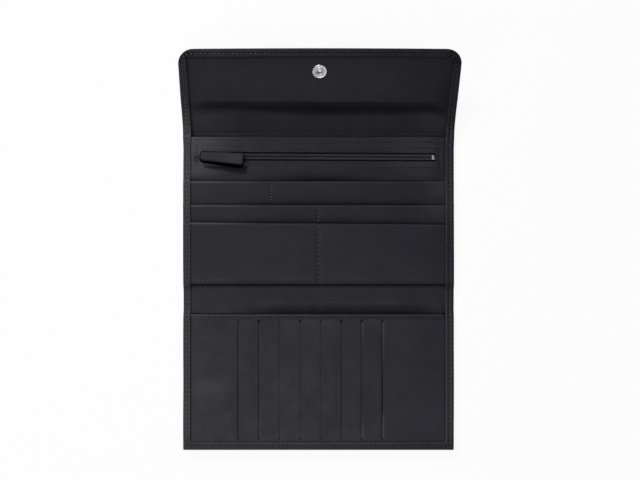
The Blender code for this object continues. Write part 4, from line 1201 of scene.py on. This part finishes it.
def make_pull_tab():
    """Leather strip folded over the bail and pasted to itself, wider towards its free end.

    Its lower long side is cut at a slant and painted dark; it widens towards the free end and stands in
    for the tab's shadow too, and the strip leans a little away from it.
    """
    pin = Vector(JOINTS["pull_tab_swing"]["pos_m"])
    bend_marks = np.sin(np.radians(np.linspace(0, 90, 9)))
    straight = np.linspace(TAB_NOSE_ROUND, TAB_LENGTH - TAB_CORNER, 14)[1:-1]
    nose, corner = TAB_NOSE_ROUND * (1 - bend_marks[::-1]), TAB_LENGTH - TAB_CORNER * (1 - bend_marks)
    marks = np.array((0, 0.25, 0.45, 0.6, 0.72, 0.8, 0.88, 0.94, 0.98, 1.0))
    cols, rows = np.concatenate((-marks[:0:-1], marks)), np.concatenate((nose, straight, corner))
    across, reach = np.meshgrid(cols, rows)
    along = reach / TAB_LENGTH
    slant = TAB_SLANT * (0.75 + 0.5 * along)
    upper_round = np.where(across > 0, 0.6, 1.0)
    half = TAB_HALF + TAB_WIDENING * along + np.where(across < 0, 0.5 * slant, 0.0)
    for radius, distance in ((TAB_NOSE_ROUND, reach), (TAB_CORNER, TAB_LENGTH - reach)):
        half = half - radius * upper_round * (1 - lip(distance, 2 * radius * upper_round))
    thickness = TAB_THICKNESS * (1 - 0.15 * smooth(along * 2))
    side = (1 - np.abs(across)) * half
    edge = np.minimum(np.minimum(side, reach), TAB_LENGTH - reach)
    swell = lip(edge, 1.2 * MM)
    cut = np.where(across < 0, np.clip(side / slant, 0, 1), 1.0)
    x, y = TAB_NOSE + reach, across * half
    curl = TAB_CURL * along**2 - TAB_LEAN * y + 0.12 * MM * ripple(reach, y, 18 * MM, 12)
    world_x = pin.x + x * math.cos(TAB_YAW) - y * math.sin(TAB_YAW)
    world_y = pin.y + x * math.sin(TAB_YAW) + y * math.cos(TAB_YAW)
    under = pin.z + curl - swell * thickness / 2
    top = under + np.minimum(swell, cut) * thickness
    # Dark edges and slanted side, partly edge paint and partly painted shadow; the rest of the top gets a
    # slight painted highlight
    dark_edge_and_shadow = edge_falloff(edge - 0.15 * MM) + smooth(slant - side, 0.3 * MM) * (across < 0)
    points = [np.stack((world_x, world_y, level), -1).reshape(-1, 3) for level in (top, under)]
    faces = grid_faces(*reach.shape)
    faces += [face[::-1] for face in grid_faces(*reach.shape, reach.size)]
    shade = np.tile((0.04 - dark_edge_and_shadow).ravel(), 2)
    piece = make("zip_pull_tab_leather", np.concatenate(points), faces, PANEL_LEATHER, shade=shade)
    piece.data.materials.append(EDGE_PAINT_AND_SHADOW)
    shades = piece.data.attributes["shade"].data
    for face in piece.data.polygons:
        face.material_index = int(max(shades[corner].value for corner in face.vertices) < PAINTED_SHADE)
    ride(piece, "zip_pull", "panel_leather", "zip_pull_tab")


# Snap fastener: turned profiles of (radius, rise) in millimetres, each from its own level

SOCKET_FOOT = ((2.1, 0.2), (5.35, 0.0))
SOCKET_TOP = (
    (2.1, -1.1), (2.9, -0.25), (3.2, -0.12), (3.5, -0.18), (3.7, -0.75), (4.0, -0.75), (4.25, -0.08),
    (4.5, 0.0), (5.2, -0.03), (5.39, -0.2), (5.45, -0.5),
)
SPRING_RADIUS, SPRING_WIRE, SPRING_BELOW_TOP = 2.13, 0.2, 0.75
CAP_BASE = ((0.0, 0.25), (5.0, 0.25), (5.0, 0.7), (2.05, 0.75))
CAP_FLOOR = ((2.05, -0.1), (1.85, 0.0), (0.9, 0.12), (0.0, 0.15))
CAP_BELOW_TOP = 2.2 * MM
STUD_SEAT = (
    (0.0, 0.0), (4.6, 0.0), (4.8, -0.15), (4.7, -0.4), (3.4, -0.52), (1.75, -0.6), (1.6, -0.75),
)
STUD_TIP = ((1.6, 1.5), (1.8, 1.2), (1.98, 0.85), (1.9, 0.45), (1.55, 0.15), (1.0, 0.0), (0.0, 0.0))


def from_level(level, points):
    return [(radius * MM, level + rise * MM) for radius, rise in points]


def snap_place(node, crease, tilt):
    """Across and run of a snap piece on the leather that leaves a crease at that tilt."""
    ahead = Vector((0.0, math.cos(tilt), math.sin(tilt)))
    corners = [vertex.co for vertex in NODES[node].data.vertices]
    along = [(corner - crease).dot(ahead) for corner in corners]
    across = [corner.x for corner in corners]
    return (min(across) + max(across)) / 2, crease.y + (min(along) + max(along)) / 2


def make_snap():
    """Socket, spring and cap on the flap, and the stud on the front, where the swaying flap meets it."""
    x, run = snap_place("snap_socket", TOP_CREASE, FLAP_TILT)
    low, high = heights("snap_socket", FLAP_CREASE, FLAP_TILT)
    bore, rim_foot = from_level(low, SOCKET_FOOT)
    socket = [bore, *from_level(high, SOCKET_TOP), rim_foot]
    wire = []
    for angle in np.linspace(0, 2 * math.pi, 10, endpoint=False):
        rise = SPRING_WIRE * math.sin(angle) - SPRING_BELOW_TOP
        wire.append((SPRING_RADIUS + SPRING_WIRE * math.cos(angle), rise))
    cap = from_level(0.0, CAP_BASE) + from_level(high - CAP_BELOW_TOP, CAP_FLOOR)
    pieces = {"snap_socket_metal": socket, "snap_spring_wire": from_level(high, wire), "snap_cap_metal": cap}
    for name, profile in pieces.items():
        ride(turned(name, profile, x, run, BRIGHT), "flap", "bright_metal", name.rpartition("_")[0])
    drift = sway(run)
    x, run = snap_place("snap_stud", FRONT_CREASE, -FRONT_TILT)
    tip, seat = front_heights("snap_stud")
    stud = from_level(seat, STUD_SEAT) + from_level(tip, STUD_TIP)
    ride(turned("snap_stud_metal", stud, x + drift, run, BRIGHT), "front_panel", "bright_metal", "snap_stud")


# Front panel with eight slits

SLITS = [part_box(f"card_pocket_{index}")[0].x + 2.0 * MM for index in range(1, 9)]
SLIT_NEAR = FRONT - 7.1 * MM
SLIT_FAR = FRONT_END + 8.9 * MM
SLIT_HALF = 0.06 * MM
SLIT_LINES = mm(-3.4, -2.9, -2.4, -1.3, -0.7) + (-SLIT_HALF, SLIT_HALF) + mm(0.5, 0.9, 1.6, 2.8)
GAPE_RUN = SLIT_FAR + 0.38 * (SLIT_NEAR - SLIT_FAR)
GAPE_REACH = 12 * MM
LEAST_HALF = 0.02 * MM
RELIEF_HOLE = 0.70 * MM
SLOT_SEAM_RUN = FRONT - 4.4 * MM
SLOT_MOUTH = FRONT - 1.7 * MM
SLOT_FOOT = FRONT_END + 0.9 * MM
SLOT_HEM_WIDTH = 1.6 * MM
# For each slit: lift of its right lip, sink of its left lip and gape, in millimetres; lift and sink also
# weigh the painted highlight and painted shade beside the slit
LIFTS = (0.08, 0.08, 0.12, 0.10, 0.08, 0.08, 0.14, 0.16)
SINKS = (0.34, 0.28, 0.06, 0.08, 0.06, 0.20, 0.16, 0.26)
GAPES = (0.14, 0.08, 0.0, 0.02, 0.0, 0.05, 0.05, 0.75)
# Painted highlights on right lips as slit, run and reach; slits with painted shade at their upper end; slits
# with a fold left of them
LIP_HIGHLIGHTS = (
    (6, SLIT_NEAR, 13 * MM), (6, SLIT_FAR, 15 * MM), (7, SLIT_NEAR, 28 * MM), (7, SLIT_FAR + 8 * MM, 14 * MM),
)
DARK_ENDS = (1, 3, 5, 6, 7)
FOLDED_LIPS = (0, 1, 5)
MOUTH_BOW = 1.1 * MM
BULGE_X, BULGE_RUN = -84 * MM, FRONT_END + 41 * MM


def slot_panel_height(x, run):
    """Top of the slotted panel: each slit's right lip stands a little proud of its left one."""
    in_slits = smooth(SLIT_NEAR - run, 12 * MM) * smooth(run - SLIT_FAR, 12 * MM)
    from_mouth = SLOT_MOUTH - run
    bow = MOUTH_BOW * rightwards(x, -0.6, 0.7) * border_fade(x, 30 * MM) * np.exp(-from_mouth / (6 * MM))
    total = front_heights("card_slot_panel")[1] + 0.12 * MM * ripple(x, run, 46 * MM, 14)
    total += groove(run - SLOT_SEAM_RUN) + bow - GAP_DEPTH * side_gap(x)
    total += HEM_RISE * smooth(1.5 * SLOT_HEM_WIDTH - from_mouth, SLOT_HEM_WIDTH)
    total += 0.7 * MM * bell(x - BULGE_X, 15 * MM) * bell(run - BULGE_RUN, 13 * MM)
    for slit, lift, sink in zip(SLITS, LIFTS, SINKS):
        raised = lift * decay(x - slit, 3.0 * MM) * (x >= slit)
        sunk = sink * decay(slit - x, 0.9 * MM) * (x < slit)
        total += MM * in_slits * (raised - sunk)
    for index in FOLDED_LIPS:
        total -= 0.10 * MM * in_slits * bell(x - SLITS[index] + 2.9 * MM, 0.5 * MM)
    return total


# Painted light on the slotted panel: a highlight on its mouth, painted sheen at the left and on the bulge,
# painted highlights and shade beside the slits, painted shade at their upper ends, in the seam channel and in
# the open corner
def slot_panel_shade(x, run):
    in_slits = (run < SLIT_NEAR) & (run > SLIT_FAR)
    total = (0.32 + 0.4 * left_painted_sheen(x)) * edge_falloff(SLOT_MOUTH - run - 0.9 * MM)
    total += 0.14 * left_painted_sheen(x, 12 * MM) - GAP_SHADE * side_gap(x)
    total += 0.42 * bell(x - BULGE_X, 15 * MM) * bell(run - BULGE_RUN - 9 * MM, 5.5 * MM)
    for index, (slit, lift, sink) in enumerate(zip(SLITS, LIFTS, SINKS)):
        light_pattern = in_slits * (1 + 0.6 * ripple(run, run, 60 * MM, 20 + index))
        total += 1.2 * lift * light_pattern * edge_falloff(x - slit) * (x >= slit)
        total -= 1.6 * sink * light_pattern * edge_falloff(slit - x) * (x < slit)
    for index, end, reach in LIP_HIGHLIGHTS:
        right = x - SLITS[index]
        total += 1.1 * bell(run - end, reach) * in_slits * edge_falloff(right - 0.3 * MM) * (right >= 0)
    for index in DARK_ENDS:
        from_end = np.hypot(x - SLITS[index], run - SLIT_NEAR)
        total -= 1.2 * bell(from_end, 1.3 * RELIEF_HOLE)
    return total - 0.2 * channel(run - SLOT_SEAM_RUN) - open_corner(x, run)


def make_slot_panel():
    low_level, high_level = front_heights("card_slot_panel")
    thickness = high_level - low_level
    cols = lines(-SHEET_HALF, SHEET_HALF, 4 * MM, *((slit, SLIT_LINES) for slit in SLITS), *GAP_FEATURES)
    hole = RELIEF_HOLE * np.sin(np.radians((-90, -60, -30, 0, 30, 60, 90)))
    rows = lines(
        SLOT_FOOT, SLOT_MOUTH, 2.6 * MM, (SLOT_MOUTH, mirrored(LIP_LINES[:6])),
        (SLOT_SEAM_RUN, GROOVE_LINES), (SLIT_NEAR, hole), (SLIT_FAR, hole),
    )
    x, run = np.meshgrid(cols, rows)
    cell_x, cell_run = middles(cols), middles(rows)
    open_rows = (cell_run < SLIT_NEAR + RELIEF_HOLE) & (cell_run > SLIT_FAR - RELIEF_HOLE)
    in_slits = (run < SLIT_NEAR) & (run > SLIT_FAR)
    from_end = np.minimum(np.abs(run - SLIT_NEAR), np.abs(run - SLIT_FAR))
    hole_half = np.sqrt(np.maximum(RELIEF_HOLE**2 - from_end**2, 0))
    keep = np.ones((len(rows) - 1, len(cols) - 1), bool)
    warped = x.copy()
    for slit, gape in zip(SLITS, GAPES):
        keep &= ~(open_rows[:, None] & (np.abs(cell_x - slit) < SLIT_HALF)[None, :])
        gaping = SLIT_HALF + gape * MM * bell(run - GAPE_RUN, GAPE_REACH)
        half = np.maximum(np.maximum(hole_half, np.where(in_slits, gaping, 0)), LEAST_HALF)
        near_edge = np.abs(np.abs(x - slit) - SLIT_HALF) < WELD
        warped = np.where(near_edge, slit + np.sign(x - slit) * half, warped)
    height = slot_panel_height(x, run)
    hem = smooth(1.5 * SLOT_HEM_WIDTH - SLOT_MOUTH + run, SLOT_HEM_WIDTH)
    bottom = height - thickness - HEM_RISE * hem
    top = bottom + lip(SLOT_MOUTH - run, 2 * HEM_ROUND) * (height - bottom)
    shade = slot_panel_shade(x, run)
    piece = slab("card_slot_panel_leather", warped, run, bottom, top, LIT_SLOT_LEATHER, keep, shade)
    ride(piece, "front_panel", "panel_leather", "card_slot_panel")


# Fabric linings, each a thin woven sheet sewn in flat

def fabric(node, body, level_of, runs):
    low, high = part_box(node)
    bottom, top = level_of(node)
    x, run = np.meshgrid(lines(low.x, high.x, 7 * MM), lines(*runs, 7 * MM))
    wave = 0.04 * MM * ripple(x, run, 26 * MM, 15)
    piece = slab(f"{node}_weave", x, run, bottom + wave, top + wave, FABRIC)
    ride(piece, body, "pocket_fabric", node)


def make_fabrics():
    fabric("zip_pocket_lining", "back_panel", heights, (PILE_LOW, PILE_HIGH))
    fabric("card_backing", "front_panel", front_heights, (SLOT_FOOT, SLOT_MOUTH))
    for index in range(1, 9):
        runs = (SLIT_FAR - 2 * MM, SLIT_NEAR + 2 * MM)
        fabric(f"card_pocket_{index}", "front_panel", front_heights, runs)


# Stitches

STITCH_MARKS = np.array((-0.5, -0.32, 0.32, 0.5))
STITCH_LIFT = np.array((-0.75, 0.0, 0.0, -0.75))
STITCH_TAPER = np.array((0.6, 1.0, 1.0, 0.6))


def stitches(path, height, outside=False, pitch=STITCH_PITCH):
    """Short thread stitches along a polyline of (x, run), each lying on the surface of that height."""
    path = np.asarray(path, float)
    steps = np.linalg.norm(np.diff(path, axis=0), axis=1)
    travelled = np.concatenate(([0], np.cumsum(steps)))
    count = max(1, round(travelled[-1] / pitch))
    gap = travelled[-1] / count
    raised = STITCH_RADIUS * (-0.3 if outside else 0.25) + STITCH_LIFT * STITCH_RADIUS
    parts = []
    for index in range(count):
        ends = (index + 0.5) * gap + STITCH_MARKS * STITCH_LENGTH * gap / pitch
        x, run = np.interp(ends, travelled, path[:, 0]), np.interp(ends, travelled, path[:, 1])
        lean = math.tan(STITCH_SLANT) * (ends - ends.mean())
        heading = np.array((x[-1] - x[0], run[-1] - run[0]))
        heading /= np.linalg.norm(heading)
        x, run = x - lean * heading[1], run + lean * heading[0]
        level = height(x, run) + raised * (-1 if outside else 1)
        parts.append(tube_mesh(lay(x, run, level), STITCH_RADIUS * STITCH_TAPER, 6))
    return parts


def thread(name, parts, light_pattern):
    """Object of many stitches; the last argument gives the painted light on the thread at a world x and y."""
    points, faces = join(parts)
    x, y, _ = np.transpose(points)
    return make(name, points, faces, THREAD, sharp=60, close=False, shade=light_pattern(x, y))


def edge_thread_light(x, y):
    """Painted light on the edges' thread, following the light painted on the strips; y stands for the run."""
    return np.clip(0.18 + 1.8 * strip_sheen(x, y), -1, 1)


def panel_thread_light(x, _, base, at_left):
    """Painted light on a panel's thread, all over and as painted sheen at the left edge."""
    return base + at_left * left_painted_sheen(x)


# Painted light on the thread of the zip panel, the dividers (paler all over) and the seams
ZIP_PANEL_THREAD_LIGHT = functools.partial(panel_thread_light, base=-0.05, at_left=0.85)
DIVIDER_THREAD_LIGHT = functools.partial(panel_thread_light, base=0.5, at_left=0.0)
SEAM_THREAD_LIGHT = functools.partial(panel_thread_light, base=0.06, at_left=0.41)


def edge_height(x, run):
    return strip_height(run) + strip_relief(x, run) - GROOVE_DEPTH


def outer_height(x, run):
    return np.full(np.shape(run), GROOVE_DEPTH - COVER_THICKNESS)


def make_edge_stitches():
    for name, (joint, low, high, _, end, corner) in SHELLS.items():
        rows = toward_end(lines(low, high, MM), end)
        cols = lines(INSET - HALF, HALF - INSET, 6 * MM)
        path = np.stack(rim(SEAM_FROM_EDGE, rows, cols, end, corner), axis=1)
        sides = [path[: len(rows)], path[len(rows):]] if end is None else [path]
        parts = []
        for side in sides:
            parts += stitches(side, edge_height)
            parts += stitches(side, outer_height, outside=True)
        bend(thread(f"{name}_edge_stitches", parts, edge_thread_light), joint, "binding_leather")


def zip_frame_path():
    """Rectangle of stitches round the zip, skewed as the zip is."""
    corners = (("left", "low"), ("right", "low"), ("right", "high"), ("left", "high"), ("left", "low"))
    path = []
    for (x_from, run_from), (x_to, run_to) in zip(corners, corners[1:]):
        for share in np.linspace(0, 1, 50):
            x = FRAME_SEAM[x_from] + share * (FRAME_SEAM[x_to] - FRAME_SEAM[x_from])
            run = FRAME_SEAM[run_from] + share * (FRAME_SEAM[run_to] - FRAME_SEAM[run_from])
            path.append((x, run + zip_skew(x)))
    return path


def skewed_zip_height(x, run):
    return zip_panel_height(x, run - zip_skew(x))


def divider_path(name):
    """Places of the divider's thread and its pitch: a zigzag on the upper pocket, straight on the others."""
    x, start = DIVIDERS[name], MOUTHS[name] - 1.8 * MM
    end = POCKET_SEAM_RUN + 1.5 * MM
    if name in NEXT_POCKET:
        end = MOUTHS[NEXT_POCKET[name]] + 0.6 * MM
    if name != "pocket_upper":
        return [(x, start), (x, end)], STITCH_PITCH
    marks = np.arange(start, end, -ZIGZAG_STEP)
    path = [(x + ZIGZAG_HALF * (-1) ** index, mark) for index, mark in enumerate(marks)]
    return path, math.hypot(2 * ZIGZAG_HALF, ZIGZAG_STEP)


def make_panel_stitches():
    side = HALF - STRIP_WIDTH - 0.5 * MM
    across = np.linspace(-side, side, 60)
    parts = stitches([(x, PANEL_SEAM_RUN + zip_skew(x)) for x in across], skewed_zip_height)
    parts += stitches(zip_frame_path(), skewed_zip_height)
    ride(thread("zip_panel_stitches", parts, ZIP_PANEL_THREAD_LIGHT), "back_panel", "panel_leather")
    for name in DIVIDERS:
        path, pitch = divider_path(name)
        parts = stitches(path, functools.partial(pocket_height, name), pitch=pitch)
        ride(thread(f"{name}_stitches", parts, DIVIDER_THREAD_LIGHT), "back_panel", "panel_leather")
    foot_height = functools.partial(pocket_height, "pocket_lower")
    rows = (
        ("pocket_foot_stitches", POCKET_SEAM_RUN, foot_height, "back_panel"),
        ("slot_panel_stitches", SLOT_SEAM_RUN, slot_panel_height, "front_panel"),
    )
    for name, run, height, body in rows:
        parts = stitches([(x, run) for x in across], height)
        ride(thread(name, parts, SEAM_THREAD_LIGHT), body, "panel_leather")


# Boards and the hidden rivet keep their frame shapes, with rounded edges and a finish

HIDDEN_NODES = {
    "back_stiffener": (BOARD, 0.1 * MM),
    "flap_stiffener": (BOARD, 0.1 * MM),
    "front_stiffener": (BOARD, 0.1 * MM),
    "snap_post": (BRIGHT, 0.08 * MM),
}


def dress_hidden_nodes():
    for name, (material, radius) in HIDDEN_NODES.items():
        node = NODES[name]
        node.data.materials.clear()
        node.data.materials.append(material)
        softened = node.modifiers.new("rounded edges", "BEVEL")
        softened.width = radius
        softened.segments = 2


make_shells()
make_linings()
make_zip_panel()
make_pockets()
make_zip()
make_slider()
make_pull_tab()
make_snap()
make_slot_panel()
make_fabrics()
make_edge_stitches()
make_panel_stitches()
dress_hidden_nodes()


# Stage, light and camera

FLOOR_SIZE = 60.0
FLOOR_DROP = 0.2 * MM
FLOOR_COLOUR = (0.86, 0.86, 0.87, 1.0)
WHITE_SHARE = 0.92
SKY = ((0.03, (0.6, 0.6, 0.6, 1.0)), (0.50, (0.02, 0.02, 0.0207, 1.0)), (0.12, (0.08, 0.08, 0.082, 1.0)))
LIGHT_TARGET = Vector((0.0, -0.04, 0.0))
LIGHTS = {
    "key_light": ((-0.64, 0.99, 1.14), 0.35, 17.0),
    "high_fill_light": ((-0.20, -0.57, 1.55), 0.8, 10.5),
    "left_fill_light": ((-0.90, -0.90, 0.90), 0.6, 2.4),
    "low_fill_light": ((0.0, -1.30, 0.70), 0.6, 1.8),
    "side_fill_light": ((1.10, 0.0, 1.20), 0.6, 1.2),
}
CAMERA_PLACE = (0.00115, -0.0237, 0.700)
CAMERA_LENS = 48.825
SENSOR_WIDTH = 36.0


def make_floor():
    """Matte floor that keeps the shadow, and shows mostly white to camera, glossy and transmitted rays."""
    material = bpy.data.materials.new("pale_floor")
    tree = Tree(material)
    tree.nodes.clear()
    rays = tree.node("ShaderNodeLightPath").outputs
    seen = tree.calculate("MAXIMUM", rays["Is Camera Ray"], rays["Is Glossy Ray"])
    seen = tree.calculate("MAXIMUM", seen, rays["Is Transmission Ray"])
    share = tree.calculate("MULTIPLY", seen, WHITE_SHARE)
    matte = tree.node("ShaderNodeBsdfDiffuse", Color=FLOOR_COLOUR).outputs[0]
    glow = tree.node("ShaderNodeEmission").outputs[0]
    mixed = tree.fill(tree.node("ShaderNodeMixShader"), share, matte, glow)
    tree.node("ShaderNodeOutputMaterial", Surface=mixed)
    half = FLOOR_SIZE / 2
    corners = [(x * half, y * half, -FLOOR_DROP) for x, y in ((-1, -1), (1, -1), (1, 1), (-1, 1))]
    mesh = bpy.data.meshes.new("floor")
    mesh.from_pydata(corners, [], [(0, 1, 2, 3)])
    mesh.materials.append(material)
    add_object("floor", mesh)


def make_world():
    """Studio surroundings, pale at the horizon and dark overhead."""
    world = bpy.data.worlds.new("studio")
    bpy.context.scene.world = world
    tree = Tree(world)
    direction = tree.node("ShaderNodeTexCoord").outputs["Generated"]
    height = tree.node("ShaderNodeSeparateXYZ", Vector=direction).outputs["Z"]
    ramp = tree.node("ShaderNodeValToRGB", Fac=height)
    stops = ramp.color_ramp.elements
    stops[0].position, stops[0].color = SKY[0]
    stops[1].position, stops[1].color = SKY[1]
    stops.new(SKY[2][0]).color = SKY[2][1]
    tree.feed(tree.nodes["Background"].inputs["Color"], ramp.outputs["Color"])


def make_lights():
    for name, (place, size, power) in LIGHTS.items():
        data = bpy.data.lights.new(name, "AREA")
        data.shape = "SQUARE"
        data.size = size
        data.energy = power
        lamp = add_object(name, data)
        lamp.location = place
        lamp.rotation_euler = (LIGHT_TARGET - Vector(place)).to_track_quat("-Z", "Y").to_euler()
        lamp.visible_camera = False


def make_camera():
    data = bpy.data.cameras.new("camera")
    data.lens = CAMERA_LENS
    data.sensor_width = SENSOR_WIDTH
    camera = add_object("camera", data)
    camera.location = CAMERA_PLACE
    bpy.context.scene.camera = camera


make_floor()
make_world()
make_lights()
make_camera()
bpy.context.scene.view_settings.view_transform = "Standard"
